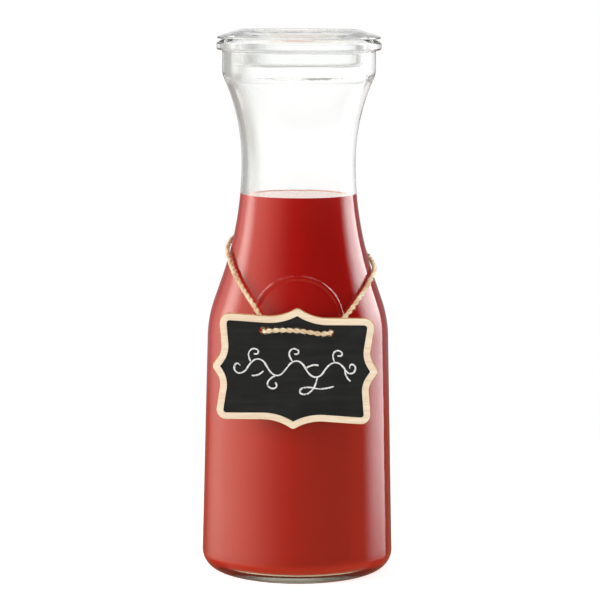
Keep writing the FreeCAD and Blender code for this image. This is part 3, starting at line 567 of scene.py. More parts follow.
@dataclass(frozen=True)
class RedJuice(Finish):
    """Opaque pressed red fruit juice, dull behind glass."""

    name: str = "red_juice"
    deep: Colour = (0.342, 0.0057, 0.0040)
    light: Colour = (0.386, 0.0094, 0.0063)
    roughness: float = 0.6
    gloss: float = 0.0
    ior: float = 1.34
    against: float | None = 1.5  # IOR of the glass that it's seen from, which mirrors flat rays
    # Painted light: a brighter, more orange red for the juice's foot, standing in for light that
    # comes in through the glass heel
    foot: Colour = (0.55, 0.0212, 0.0075)
    foot_height: Point2 = (6.5 * MM, 10.5 * MM)
    cloud: Pattern = Pattern(Effect.MOTTLE, 28.0, 0.35)

    def shader(self, sheet: Sheet) -> Socket:
        """Add the shader's nodes: cloudy colour, with painted light at the foot: a brighter, more
        orange red where light comes in through the heel.

        Args:
            sheet: The material's nodes.

        Returns:
            The shader.
        """
        height = sheet.parts(sheet.place())[2]
        colour = sheet.blend(self.cloud.value(sheet), self.deep, self.light)
        inputs = {
            # Painted light at the foot: below foot_height the colour turns to the brighter foot red
            "Base Color": sheet.blend(sheet.between(height, *self.foot_height), self.foot, colour),
            "Roughness": self.roughness,
            "IOR": self.ior,
            "Specular IOR Level": self.gloss,
        }
        juice = sheet.out("ShaderNodeBsdfPrincipled", inputs)
        if self.against is None:
            return juice
        flat = sheet.out("ShaderNodeFresnel", {"IOR": self.ior / self.against})
        mirror = sheet.out("ShaderNodeBsdfGlossy", {"Roughness": 0.0})
        return sheet.mixed_shaders(flat, juice, mirror)


@dataclass(frozen=True)
class JuiceSurface(RedJuice):
    """The juice's wet, open surface, painted pale: its colour is a painted reflection of the light
    from above on the wet top.
    """

    name: str = "juice_surface"
    # Painted reflection: these pale pinks stand in for light from above mirrored by the wet
    # surface; the juice itself is deep red
    deep: Colour = (0.78, 0.40, 0.30)
    light: Colour = (0.84, 0.46, 0.35)
    roughness: float = 0.02
    gloss: float = 0.5
    against: float | None = None


@dataclass(frozen=True)
class DullFinish(Finish):
    """Two colours mixed by one or two patterns, with a fine relief from the first of them."""

    low: Colour  # where the patterns are low
    high: Colour
    patterns: tuple[Pattern, ...]
    spread: Point2  # range of the patterns over which one colour becomes the other
    relief: Point2  # strength and height
    roughness: Point2  # where the first pattern is low and high
    gloss: float = 0.5

    ROUGHENING: ClassVar[Point2] = (0.3, 0.7)  # range of the first pattern that this goes with

    def shader(self, sheet: Sheet) -> Socket:
        """Add the shader's nodes: mixed colours and a relief.

        Args:
            sheet: The material's nodes.

        Returns:
            The shader.
        """
        values = [pattern.value(sheet) for pattern in self.patterns]
        share = main = values[0]
        if len(values) > 1:
            shares = [sheet.times(v, p.weight) for v, p in zip(values, self.patterns)]
            share = sheet.maths("ADD", *shares)
        rough: float | Socket = self.roughness[0]
        if self.roughness[1] != rough:
            rough = sheet.between(main, *self.ROUGHENING, self.roughness)
        inputs = {
            "Base Color": sheet.blend(sheet.between(share, *self.spread), self.low, self.high),
            "Roughness": rough,
            "Specular IOR Level": self.gloss,
            "Normal": sheet.bump(main, *self.relief),
        }
        return sheet.out("ShaderNodeBsdfPrincipled", inputs)


@dataclass(frozen=True)
class PaleWood(DullFinish):
    """Smooth pale board with a fine grain along X."""

    name: str = "pale_wood"
    low: Colour = srgb(239, 222, 196)
    high: Colour = srgb(222, 194, 163)
    patterns: tuple[Pattern, ...] = (
        Pattern(Effect.STREAKS, 1500.0, 22.0, 0.6),
        Pattern(Effect.STREAKS, 260.0, 9.0, 0.4),
    )
    spread: Point2 = (0.36, 0.68)
    relief: Point2 = (0.35, 0.06 * MM)
    roughness: Point2 = (0.62, 0.76)


@dataclass(frozen=True)
class CutEdge(DullFinish):
    """The tag's sawn edge, browner than its faces."""

    name: str = "cut_edge"
    low: Colour = srgb(214, 166, 106)
    high: Colour = srgb(170, 116, 62)
    patterns: tuple[Pattern, ...] = (Pattern(Effect.MOTTLE, 420.0, 0.6),)
    spread: Point2 = (0.3, 0.7)
    relief: Point2 = (0.4, 0.08 * MM)
    roughness: Point2 = (0.78, 0.78)


@dataclass(frozen=True)
class Chalkboard(DullFinish):
    """Matt black paint with faint dust and wipe marks."""

    name: str = "chalkboard"
    low: Colour = srgb(25, 25, 26)
    high: Colour = srgb(38, 38, 39)
    patterns: tuple[Pattern, ...] = (
        Pattern(Effect.MOTTLE, 130.0, 0.9, 0.4),
        Pattern(Effect.STREAKS, 420.0, 8.0, 0.6),
    )
    spread: Point2 = (0.35, 0.75)
    relief: Point2 = (0.3, 0.05 * MM)
    roughness: Point2 = (0.62, 0.78)
    gloss: float = 0.3


@dataclass(frozen=True)
class Jute(DullFinish):
    """Pale jute fibres that run along each ply."""

    name: str = "jute"
    low: Colour = srgb(250, 238, 205)
    high: Colour = srgb(202, 152, 101)
    patterns: tuple[Pattern, ...] = (
        Pattern(Effect.STREAKS, 4.5, 9.0, 0.65, "ply"),
        Pattern(Effect.MOTTLE, 120.0, 0.5, 0.35),
    )
    spread: Point2 = (0.36, 0.66)
    relief: Point2 = (0.8, 0.15 * MM)
    roughness: Point2 = (0.85, 0.85)


@dataclass(frozen=True)
class Chalk(Finish):
    """Dry white chalk that the board's grain shows through."""

    name: str = "white_chalk"
    white: Colour = srgb(242, 240, 237)
    grey: Colour = srgb(201, 199, 196)
    roughness: float = 0.95
    grit: Pattern = Pattern(Effect.MOTTLE, 1400.0, 0.8)
    bare: Point2 = (0.30, 0.46)  # range of the grit over which the chalk goes from thin to whole
    thinnest: float = 0.25

    def shader(self, sheet: Sheet) -> Socket:
        """Add the shader's nodes: grit, with thin places.

        Args:
            sheet: The material's nodes.

        Returns:
            The shader.
        """
        grit = self.grit.value(sheet)
        inputs = {
            "Base Color": sheet.blend(grit, self.grey, self.white),
            "Roughness": self.roughness,
            "Alpha": sheet.between(grit, *self.bare, (self.thinnest, 1.0)),
        }
        return sheet.out("ShaderNodeBsdfPrincipled", inputs)


def dress(piece: Piece, *finishes: Finish) -> None:
    """Give a piece its materials, in the order of its faces' material numbers."""
    for finish in finishes:
        piece.data.materials.append(finish.material())


def settle(piece: Piece, slot: Slot, *nodes: str) -> None:
    """Hang a finished piece on the root body, hide the CAD nodes that it stands for, and report it.

    Args:
        piece: The piece.
        slot: Whose finish it takes; not used.
        nodes: The CAD nodes that it stands for.
    """
    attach(piece, "root")
    if nodes:
        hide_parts(*nodes)
    LOG.info("%s: %d faces", piece.name, len(piece.data.polygons))


# ---- Glass, juice and lid


@dataclass
class Bottle:
    """The glass bottle: foot, wall, shoulder, neck, flare, collar, and a plain ring in relief."""

    body_radius: float = 44.25 * MM
    heel_round: float = 9.0 * MM
    foot_inner: float = 33.0 * MM
    push_up: float = 3.0 * MM
    draft: float = 1.37
    shoulder_height: float = 109.5 * MM
    shoulder_arc: float = 54.5 * MM
    slope_length: float = 10.5 * MM
    neck_arc: float = 163.4 * MM
    neck_radius: float = 26.2 * MM
    flare_arc: float = 93.9 * MM
    lip_arc: float = 9.0 * MM
    band_radius: float = 35.2 * MM
    band_height: float = 8.3 * MM
    collar_radius: float = 37.75 * MM
    collar_edge: float = 1.6 * MM
    collar_round: float = 1.2 * MM
    collar_fillet: float = 0.8 * MM
    collar_slope: float = 24.0
    seat_radius: float = 34.2 * MM
    wall: float = 2.8 * MM
    base: float = 5.2 * MM
    floor_arc: float = 170.0 * MM
    inner_heel: float = 7.0 * MM
    mouth_radius: float = 31.2 * MM
    inner_lip: float = 12.0 * MM
    ring_height: float = 120.4 * MM
    ring_radius: float = 20.8 * MM
    ring_width: float = 2.4 * MM
    ring_rise: float = 0.7 * MM
    ring_flat: float = 0.40  # share of its width that is flat on top
    ring_margin: float = 0.6  # share of its width round it where the mesh is fine too
    ring_step: float = 0.31 * MM  # between points of the mesh where the ring is
    column_step: float = 1.1  # of the columns there, against the rows
    column_reach: float = 0.56  # of the columns there, against the ring's reach at the neck
    plain_step: float = 3.0 * MM
    plain_columns: int = 116

    @property
    def shoulder_start(self) -> Point2:
        """Outside radius and height of the place where the wall becomes the shoulder."""
        run = self.shoulder_height - self.heel_round * (1 + sin(self.draft))
        return self.body_radius - run * tan(self.draft), self.shoulder_height

    @property
    def lean(self) -> float:
        """Degrees by which the shoulder's straight stretch leans in.

        Returns:
            The angle at which shoulder, straight stretch and neck come to the neck's radius.
        """
        run = self.shoulder_arc + self.neck_arc
        reach = self.shoulder_start[0] - self.neck_radius - self.neck_arc
        reach -= self.shoulder_arc * cos(self.draft)
        slant = math.hypot(run, self.slope_length)
        return acos(-reach / slant) - atan(self.slope_length, run)

    @staticmethod
    def flare(waist: float, mouth: float, arcs: float) -> float:
        """Degrees by which a neck flares from its waist to its mouth, over two arcs."""
        return acos(1 - (mouth - waist) / arcs)

    def row_step(self, height: float) -> float:
        """Distance between rows of the outside at a height."""
        near = self.ring_radius + self.ring_margin * self.ring_width
        return self.ring_step if abs(height - self.ring_height) < near else self.plain_step

    def outside(self) -> list[Point2]:
        """Half section of the outside.

        Returns:
            Points (radius, height) from the middle of the base up to the seat's outer edge.
        """
        dome = (self.foot_inner**2 + self.push_up**2) / (2 * self.push_up)
        flare = self.flare(self.neck_radius, self.band_radius, self.flare_arc + self.lip_arc)
        wall = (self.shoulder_height - self.heel_round * (1 + sin(self.draft))) / cos(self.draft)
        ledge = self.collar_radius - self.band_radius - self.collar_fillet - self.collar_round
        top = self.collar_radius - self.collar_round * (1 - sin(self.collar_slope))
        line = Profile(0.0, self.push_up)
        line.arc(dome, -asin(self.foot_inner / dome), lambda _: self.plain_step)
        line.corner(-line.heading)
        line.line(self.body_radius - self.heel_round * cos(self.draft) - self.foot_inner)
        line.arc(self.heel_round, 90.0 + self.draft)
        line.line(wall, self.row_step)
        line.arc(self.shoulder_arc, self.lean - self.draft, self.row_step)
        line.line(self.slope_length, self.row_step)
        line.arc(self.neck_arc, -self.lean, self.row_step)
        line.arc(self.flare_arc, -flare, self.row_step)
        line.arc(self.lip_arc, flare)
        line.line(self.band_height)
        line.arc(self.collar_fillet, -90.0)
        line.line(ledge)
        line.arc(self.collar_round, 90.0)
        line.line(self.collar_edge)
        line.arc(self.collar_round, 90.0 - self.collar_slope)
        line.line((top - self.seat_radius) / cos(self.collar_slope))
        return line.points

    def heel_middle(self, wall_top: Point2, floor: float, heel: float, low: float) -> Point2:
        """Find where the floor's arc and the wall are both touched by the heel's arc.

        Args:
            wall_top: Radius and height of the wall's upper end.
            floor: Radius of the floor's arc.
            heel: Radius of the heel's arc.
            low: Height of the middle of the floor's arc.

        Returns:
            Radius of the middle of the heel's arc, and its height above the floor arc's.
        """
        radius = 0.0
        below, above = low, wall_top[1]
        for _ in range(60):
            height = (below + above) / 2
            along = (wall_top[1] - heel * sin(self.draft) - height) / cos(self.draft)
            radius = wall_top[0] - heel * cos(self.draft) + along * sin(self.draft)
            if math.hypot(radius, height - low) < floor + heel:
                below = height
            else:
                above = height
        return radius, height - low

    def inside(self, inset: float, grow: float, step: float) -> list[Point2]:
        """Half section of the space inside, or of a form parallel to it, from the floor up.

        Args:
            inset: How far its wall lies inside the outside.
            grow: How far its floor and mouth are moved into the glass.
            step: Distance between its points.

        Returns:
            Points (radius, height) up to the mouth, at the height of the seat.
        """
        floor, heel = self.floor_arc - grow, self.inner_heel + grow
        apex = self.push_up + self.base - grow
        start = self.shoulder_start
        wall_top = start[0] - inset * cos(self.draft), start[1] - inset * sin(self.draft)
        dip = atan(*self.heel_middle(wall_top, floor, heel, apex - floor))
        arcs = self.flare_arc + inset, self.inner_lip + grow
        flare = self.flare(self.neck_radius - inset, self.mouth_radius + grow, sum(arcs))
        line = Profile(0.0, apex)
        line.arc(floor, -dip, lambda _: step)
        line.arc(heel, dip + 90.0 + self.draft)
        line.line((wall_top[1] - line.points[-1][1]) / cos(self.draft))
        line.arc(self.shoulder_arc - inset, self.lean - self.draft, lambda _: step)
        line.line(self.slope_length)
        line.arc(self.neck_arc + inset, -self.lean, lambda _: step)
        line.arc(arcs[0], -flare, lambda _: step)
        line.arc(arcs[1], flare)
        return line.points

    def ring(self, across: np.ndarray, height: np.ndarray) -> np.ndarray:
        """How far the plain ring stands proud of the shoulder.

        Args:
            across: How far to the right each place is.
            height: Its height.

        Returns:
            The ring's rise there.
        """
        half = self.ring_width / 2
        away = np.hypot(across, height - self.ring_height) - self.ring_radius + half
        down = np.clip((np.abs(away) / half - self.ring_flat) / (1.0 - self.ring_flat), 0.0, 1.0)
        return self.ring_rise * 0.5 * (1.0 + np.cos(np.pi * down))

    def columns(self) -> list[float]:
        """Angles of the mesh's columns, closer together where the ring is.

        Returns:
            The angles in degrees.
        """
        reach = asin((self.ring_radius + self.ring_width) / self.neck_radius) * self.column_reach
        fine = math.degrees(self.ring_step / self.body_radius) * self.column_step
        front = np.arange(-round(reach / fine), round(reach / fine) + 1) * fine
        rest = np.linspace(front[-1], front[0] + 360.0, self.plain_columns)[1:-1]
        return [*front, *rest]

    def build(self) -> None:
        """Make the glass."""
        outer = self.outside()
        inner = self.inside(self.wall, 0.0, self.plain_step)
        section = [*outer, (self.mouth_radius, outer[-1][1]), *reversed(inner)]
        bottle = lathe("bottle_glass", section, self.columns(), self.ring, len(outer) - 1)
        dress(bottle, ClearGlass())
        settle(bottle, Slot.GLASS, "bottle")


@dataclass
class Juice:
    """The juice, which reaches just into the glass and climbs it a little at its surface."""

    bottle: Bottle
    into_glass: float = 0.15 * MM
    meniscus: float = 0.45 * MM
    meniscus_run: float = 1.5  # its width and height against its size
    meniscus_rise: float = 0.75
    step: float = 2.0 * MM

    def section(self, level: float) -> list[Point2]:
        """Half section of the juice.

        Args:
            level: Height of its edge against the glass.

        Returns:
            Points (radius, height) from the floor up the glass and in to the axis.
        """
        shape = self.bottle.inside(self.bottle.wall - self.into_glass, self.into_glass, self.step)
        section = [p for p in shape if p[1] < level - 0.2 * MM]
        after, before = shape[len(section)], section[-1]
        share = (level - before[1]) / (after[1] - before[1])
        edge = before[0] + share * (after[0] - before[0])
        section.append((edge, level))
        run, rise = self.meniscus * self.meniscus_run, self.meniscus * self.meniscus_rise
        edge -= self.into_glass * 0.2
        section += [(edge - run * (1 - cos(t)), level - rise * sin(t)) for t in range(10, 91, 10)]
        radius, flat = section[-1]
        return [*section, *((radius * part, flat) for part in (0.75, 0.5, 0.25, 0.0))]

    def build(self) -> None:
        """Make the juice."""
        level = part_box("juice")[1][2]
        juice = lathe("juice_fill", self.section(level), even_angles(128))
        dress(juice, RedJuice(), JuiceSurface())
        for face in juice.data.polygons:
            high = face.center.z > level - 2 * self.meniscus
            face.material_index = int(face.normal.z > 0.3 and high)
        settle(juice, Slot.JUICE, "juice")


@dataclass
class Lid:
    """The glass lid: brim, sunk top, and a hollow plug in the mouth."""

    radius: float = 37.45 * MM
    tip_round: float = 0.55 * MM
    slope: float = 18.0
    air: float = 0.04 * MM  # between the lid and its seat, so that they don't share a face
    rise: float = 4.21 * MM  # from there to the top
    shoulder_arc: float = 4.0 * MM
    recess_radius: float = 21.5 * MM
    recess_depth: float = 1.6 * MM
    recess_round: float = 1.4 * MM
    plate: float = 3.2 * MM
    plug_radius: float = 30.0 * MM
    plug_wall: float = 3.4 * MM
    plug_depth: float = 12.4 * MM
    plug_outer_round: float = 2.3 * MM
    plug_inner_round: float = 0.9 * MM
    flat_step: float = 6.0 * MM
    columns: int = 160

    def section(self, seat: float) -> list[Point2]:
        """Half section of the lid.

        Args:
            seat: Height of the brim's underside.

        Returns:
            Points from the middle of the ceiling, out under the brim and back over the top.
        """
        recess = self.rise - self.recess_depth
        wave = acos(1 - self.recess_depth / 2 / self.recess_round)
        brim_tip = self.radius - self.tip_round * (1 - sin(self.slope))
        brim_height = self.tip_round * (1 + cos(self.slope))
        crest_fall = self.shoulder_arc * (1 - cos(self.slope))
        brim_run = (self.rise - crest_fall - brim_height) / tan(self.slope)
        crest = brim_tip - brim_run - self.shoulder_arc * sin(self.slope)
        ceiling = recess - self.plate
        small, large = self.plug_inner_round, self.plug_outer_round
        line = Profile(0.0, seat + ceiling)
        line.line(self.plug_radius - self.plug_wall - small, lambda _: self.flat_step)
        line.arc(small, -90.0)
        line.line(self.plug_depth + ceiling - 2 * small)
        line.arc(small, 90.0)
        line.line(self.plug_wall - large - small)
        line.arc(large, 90.0)
        line.line(self.plug_depth - small - large)
        line.arc(small, -90.0)
        line.line(self.radius - self.tip_round - self.plug_radius - small)
        line.arc(self.tip_round, 180.0 - self.slope)
        line.line(brim_run / cos(self.slope))
        line.arc(self.shoulder_arc, self.slope)
        line.line(crest - self.recess_radius - 2 * self.recess_round * sin(wave))
        line.arc(self.recess_round, wave)
        line.arc(self.recess_round, -wave)
        line.line(self.recess_radius, lambda _: self.flat_step)
        return [*line.points[:-1], (0.0, line.points[-1][1])]

    def build(self) -> None:
        """Make the lid."""
        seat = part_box("lid")[0][2] + self.plug_depth + self.air
        lid = lathe("lid_glass", self.section(seat), even_angles(self.columns))
        dress(lid, ClearGlass())
        settle(lid, Slot.GLASS, "lid")


# ---- Tag


def around(centre: Point2, radius: float, start: float, end: float, count: int) -> list[Point2]:
    """Points along an arc, from one direction to another."""
    turns = np.linspace(start, end, count)
    return [(centre[0] + radius * cos(t), centre[1] + radius * sin(t)) for t in turns]


def band(low: int, high: int, size: int) -> list[tuple[int, ...]]:
    """Faces between two loops of as many vertices, given the first of each."""
    pairs = [(j, (j + 1) % size) for j in range(size)]
    return [(low + j, low + k, high + k, high + j) for j, k in pairs]


@dataclass
class Tag:
    """The wooden board with its recess, black panel and chalk scroll."""

    draft: float = 1.37
    roll: float = 2.0
    thickness: float = 3.0 * MM
    edge_round: float = 0.4 * MM
    half_width: float = 36.9 * MM
    half_height: float = 27.15 * MM
    tip_round: float = 2.0 * MM
    top_arc: float = 23.0 * MM
    top_arc_offset: float = 13.25 * MM
    top_slope: float = 2.0
    corner_round: float = 4.5 * MM
    side_slope: float = 7.0
    side_arc: float = 9.0 * MM
    side_arc_offset: float = 8.68 * MM
    flank: float = 3.2 * MM
    border: float = 3.1 * MM
    border_lip: float = 0.12 * MM
    recess: float = 0.7 * MM
    panel_thickness: float = 0.6 * MM
    panel_gap: float = 0.1 * MM
    panel_lift: float = 0.01 * MM
    panel_bevel: float = 0.08 * MM
    hole_radius: float = 1.7 * MM
    hole_spread: float = 15.05 * MM
    hole_rise: float = 16.7 * MM
    hole_points: int = 28
    mark_lift: float = 0.02 * MM

    @property
    def turn(self) -> Matrix:
        """How the tag is turned: it lies along the leaning wall, and hangs slightly askew."""
        back = Matrix.Rotation(math.radians(-self.draft), 4, "X")
        return back @ Matrix.Rotation(math.radians(self.roll), 4, "Y")

    def quarter(self, inset: float) -> list[Point2]:
        """The outline from its top point to its right point, moved inwards.

        Args:
            inset: How far the outline is moved inwards.

        Returns:
            Points (across, up), always as many.
        """
        reach = self.tip_round + self.top_arc
        top_flank = asin(self.top_arc_offset / reach)
        run = self.tip_round + self.side_arc
        side_flank = asin(self.side_arc_offset / math.hypot(run, self.flank))
        side_flank -= atan(self.flank, run)
        top_tip = (0.0, self.half_height - self.tip_round)
        top_centre = (self.top_arc_offset, top_tip[1] + reach * cos(top_flank))
        tip = self.half_width - self.tip_round
        # Middle of the side's hollow arc, found back from the side point
        side_centre = (
            tip + run * cos(side_flank) - self.flank * sin(side_flank),
            run * sin(side_flank) + self.flank * cos(side_flank),
        )
        tip_radius, hollow = self.tip_round - inset, self.top_arc + inset
        if tip_radius > 0:
            start = -90.0 - top_flank
            points = around(top_tip, tip_radius, 90.0, 90.0 - top_flank, 7)
        else:
            start = -90.0 - asin(self.top_arc_offset / hollow)
            points = around(top_centre, hollow, start, start, 7)
        points += around(top_centre, hollow, start, -90.0 + self.top_slope, 18)[1:]
        # The corner: where lines at its two slopes, moved inwards, are both touched by its arc
        x, z = points[-1]
        side = self.side_arc + inset
        end_x, end_z = around(side_centre, side, 180.0 - self.side_slope, 180.0, 2)[0]
        radius = self.corner_round - inset
        rise, fall = tan(self.top_slope), tan(self.side_slope)
        corner_x = (end_x + (z - x * rise - end_z) * fall) / (1 - rise * fall)
        corner_z = z + (corner_x - x) * rise
        back = radius * tan((90.0 + self.top_slope + self.side_slope) / 2)
        middle = (
            corner_x - back * cos(self.top_slope) + radius * sin(self.top_slope),
            corner_z - back * sin(self.top_slope) - radius * cos(self.top_slope),
        )
        points += around(middle, radius, 90.0 + self.top_slope, -self.side_slope, 12)
        points += around(side_centre, side, 180.0 - self.side_slope, 180.0 + side_flank, 12)
        if tip_radius > 0:
            return points + around((tip, 0.0), tip_radius, side_flank, 0.0, 7)
        x, z = points[-1]
        return points + [(x + z * tan(side_flank), 0.0)] * 7

    def outline(self, inset: float) -> list[Point2]:
        """The whole outline, clockwise from its top point, moved inwards.

        Args:
            inset: How far the outline is moved inwards.

        Returns:
            Points (across, up), always as many.
        """
        quarter = self.quarter(inset)
        half = quarter + [(x, -z) for x, z in reversed(quarter)][1:]
        return half + [(-x, -z) for x, z in half[1:-1]]

    def holes(self) -> list[Point2]:
        """Outlines of the two holes, one after the other."""
        pairs = [(side, turn) for side in (-1, 1) for turn in even_angles(self.hole_points)]
        return [self.on_hole(side * self.hole_spread, turn) for side, turn in pairs]

    def on_hole(self, across: float, turn: float) -> Point2:
        """A point on the edge of the hole that lies so far across."""
        r = self.hole_radius
        return across + r * cos(turn), self.hole_rise + r * sin(turn)

    def slab(self, name: str, rows: Sequence[Point2], edges: Sequence[int] = ()) -> Piece:
        """A flat body with two holes, built up from copies of the outline.

        Args:
            name: Name of the object.
            rows: (inset, depth) of each copy, from the middle of the back round to the front.
            edges: Rows after which the faces have the second material, as the holes' walls then do.

        Returns:
            The object, in the tag's own frame.
        """
        vertices = [(x, -depth, z) for inset, depth in rows for x, z in self.outline(inset)]
        count = len(vertices) // len(rows)
        faces: list[tuple[int, ...]] = []
        numbers: list[int] = []
        for i in range(len(rows) - 1):
            faces += band(i * count, (i + 1) * count, count)
            numbers += [int(i in edges)] * count
        size = self.hole_points
        ends = []
        for row, ring in ((rows[0], 0), (rows[-1], len(vertices) - count)):
            starts = [len(vertices), len(vertices) + size]
            vertices += [(x, -row[1], z) for x, z in self.holes()]
            ends.append(starts)
            loops = [range(ring, ring + count), *(range(s, s + size) for s in starts)]
            flat = [n for loop in loops for n in loop]
            spots = [[Vector((vertices[n][0], vertices[n][2], 0.0)) for n in r] for r in loops]
            caps = [tuple(flat[n] for n in corners) for corners in tessellate_polygon(spots)]
            faces += caps
            numbers += [0] * len(caps)
        for back, front in zip(*ends):
            faces += band(back, front, size)
            numbers += [int(bool(edges))] * size
        return solid_object(name, vertices, faces, 30.0, 2e-6, numbers)

    def board(self) -> Piece:
        """The wooden board.

        Returns:
            The piece, in the tag's own frame.
        """
        r, t, steps = self.edge_round, self.thickness, (0.0, 30.0, 60.0, 90.0)
        rows = [(r - r * sin(a), r - r * cos(a)) for a in steps]
        rows += [(r - r * cos(a), t - r + r * sin(a)) for a in steps]
        rows += [(self.border - self.border_lip, t), (self.border, t - self.border_lip)]
        rows.append((self.border, t - self.recess))
        return self.slab("tag_wood", rows, range(2, 6))

    def panel(self) -> Piece:
        """The black panel in the recess.

        Returns:
            The piece, in the tag's own frame.
        """
        floor, bevel = self.thickness - self.recess, self.panel_bevel
        front, inset = floor + self.panel_thickness, self.border + self.panel_gap
        rows = [(inset, floor + self.panel_lift), (inset, front - bevel), (inset + bevel, front)]
        return self.slab("tag_panel", rows)

    def place(self, pieces: Sequence[Piece]) -> None:
        """Hang pieces made in the tag's own frame where the CAD has the board.

        Args:
            pieces: The board first, then what goes with it.
        """
        turn = self.turn
        corners = np.array([turn @ v.co for v in pieces[0].data.vertices])
        middle = Vector((corners.min(axis=0) + corners.max(axis=0)) / 2)
        low, high = (Vector(corner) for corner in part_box("tag_board"))
        move = Matrix.Translation((low + high) / 2 - middle) @ turn
        for piece in pieces:
            piece.data.transform(move)

    def build(self) -> tuple[Piece, ...]:
        """Make the tag.

        Returns:
            Its board, panel and chalk scroll.
        """
        board, panel = self.board(), self.panel()
        dress(board, PaleWood(), CutEdge())
        dress(panel, Chalkboard())
        depth = self.thickness - self.recess + self.panel_thickness + self.mark_lift
        scroll = Scroll(Chalk().material()).build(depth)
        self.place([board, panel, scroll])
        settle(board, Slot.WOOD, "tag_board")
        settle(panel, Slot.PANEL, "chalk_panel")
        settle(scroll, Slot.PANEL)
        return board, panel, scroll


# ---- Geometry Nodes


def evaluated_mesh(piece: Piece) -> bpy.types.Mesh:
    """The mesh that an object's curve or modifiers come to."""
    graph = bpy.context.evaluated_depsgraph_get()
    return bpy.data.meshes.new_from_object(piece.evaluated_get(graph), depsgraph=graph)


def nurbs_line(routes: Sequence[Sequence[Sequence[float]]], resolution: int) -> bpy.types.Mesh:
    """Points along smooth lines, read from their NURBS splines.

    Args:
        routes: Control points of each line.
        resolution: Points to each control point.

    Returns:
        A mesh of edges, one chain to a line.
    """
    curve = bpy.data.curves.new("route", "CURVE")
    curve.dimensions = "3D"
    curve.resolution_u = resolution
    for route in routes:
        spline = curve.splines.new("NURBS")
        spline.points.add(len(route) - 1)
        for point, place in zip(spline.points, route):
            point.co = (*place, 1.0)
        spline.order_u = 3
        spline.use_endpoint_u = True
    holder = link_object("route", curve)
    mesh = evaluated_mesh(holder)
    bpy.data.objects.remove(holder)
    bpy.data.curves.remove(curve)
    return mesh


class Growth(Sheet):
    """A Geometry Nodes tree that turns a piece's guide line into its finished mesh."""

    def __init__(self, name: str, inputs: dict[str, float], normal: str) -> None:
        """Start the tree with the guide line as a curve of even steps.

        Args:
            name: Name of the tree.
            inputs: Its named sizes and their values, the step's Spacing among them.
            normal: How the curve's normals run.
        """
        super().__init__(bpy.data.node_groups.new(name, "GeometryNodeTree"))
        face = self.tree.interface
        for way in ("INPUT", "OUTPUT"):
            face.new_socket(name="Geometry", in_out=way, socket_type="NodeSocketGeometry")
        self.values: dict[str, float] = {}
        for key, value in inputs.items():
            item = face.new_socket(name=key, in_out="INPUT", socket_type="NodeSocketFloat")
            item.default_value = value
            self.values[item.identifier] = value
        self.at = {s.name: s for s in self.add("NodeGroupInput").outputs if s.name}
        self.end = self.add("NodeGroupOutput").inputs["Geometry"]
        line = self.out("GeometryNodeMeshToCurve", {"Mesh": self.at["Geometry"]})
        steps = {"Curve": line, "Length": self.at["Spacing"]}
        even = self.out("GeometryNodeResampleCurve", steps, mode="LENGTH")
        self.curve = self.add("GeometryNodeSetCurveNormal", {"Curve": even}, mode=normal)

    def circle(self, points: int, radius: object) -> Socket:
        """A circle to draw along a curve."""
        inputs = {"Resolution": points, "Radius": radius}
        return self.out("GeometryNodeCurvePrimitiveCircle", inputs, mode="RADIUS")

    def tube(self, curve: Socket, profile: Socket, **more: object) -> Socket:
        """A closed body that a profile sweeps along a curve."""
        inputs = {"Curve": curve, "Profile Curve": profile, "Fill Caps": True}
        return self.out("GeometryNodeCurveToMesh", inputs | more)

    def join(self, *parts: Socket) -> Socket:
        """Put geometries together.

        Args:
            parts: The geometries.

        Returns:
            All of them as one.
        """
        node = self.add("GeometryNodeJoinGeometry")
        for part in parts:
            self.give(node.inputs[0], part)
        return node.outputs[0]

    def keep(self, geometry: Socket, name: str, value: Socket) -> tuple[Socket, Socket]:
        """Hold a number on the points of a geometry.

        Args:
            geometry: The geometry.
            name: What the number is called.
            value: The number.

        Returns:
            The geometry, and the number as it was there.
        """
        node = self.add("GeometryNodeCaptureAttribute", domain="POINT")
        node.capture_items.new("FLOAT", name)
        self.give(node.inputs["Geometry"], geometry)
        self.give(node.inputs[name], value)
        return node.outputs["Geometry"], node.outputs[name]

    def chance(self, low: float, high: float, seed: int) -> Socket:
        """A random number for each point."""
        inputs = {2: low, 3: high, "Seed": seed}
        return self.add("FunctionNodeRandomValue", inputs, data_type="FLOAT").outputs[1]

    def finish(self, geometry: Socket, material: bpy.types.Material) -> None:
        """End the tree with real geometry that carries its material."""
        inputs = {0: self.out("GeometryNodeRealizeInstances", {0: geometry}), "Material": material}
        self.give(self.end, self.out("GeometryNodeSetMaterial", inputs))

    def grow(self, name: str, guide: bpy.types.Mesh) -> Piece:
        """Run the tree on a guide and keep the result as a plain mesh.

        Args:
            name: Name of the finished object.
            guide: Mesh whose edges are the guide line.

        Returns:
            The finished object.
        """
        seed = link_object(name + "_guide", guide)
        modifier = seed.modifiers.new("grow", "NODES")
        modifier.node_group = self.tree
        for identifier, value in self.values.items():
            modifier[identifier] = value
        mesh = evaluated_mesh(seed)
        seed.modifiers.clear()
        bpy.data.objects.remove(seed)
        mesh.name = name
        return link_object(name, mesh)


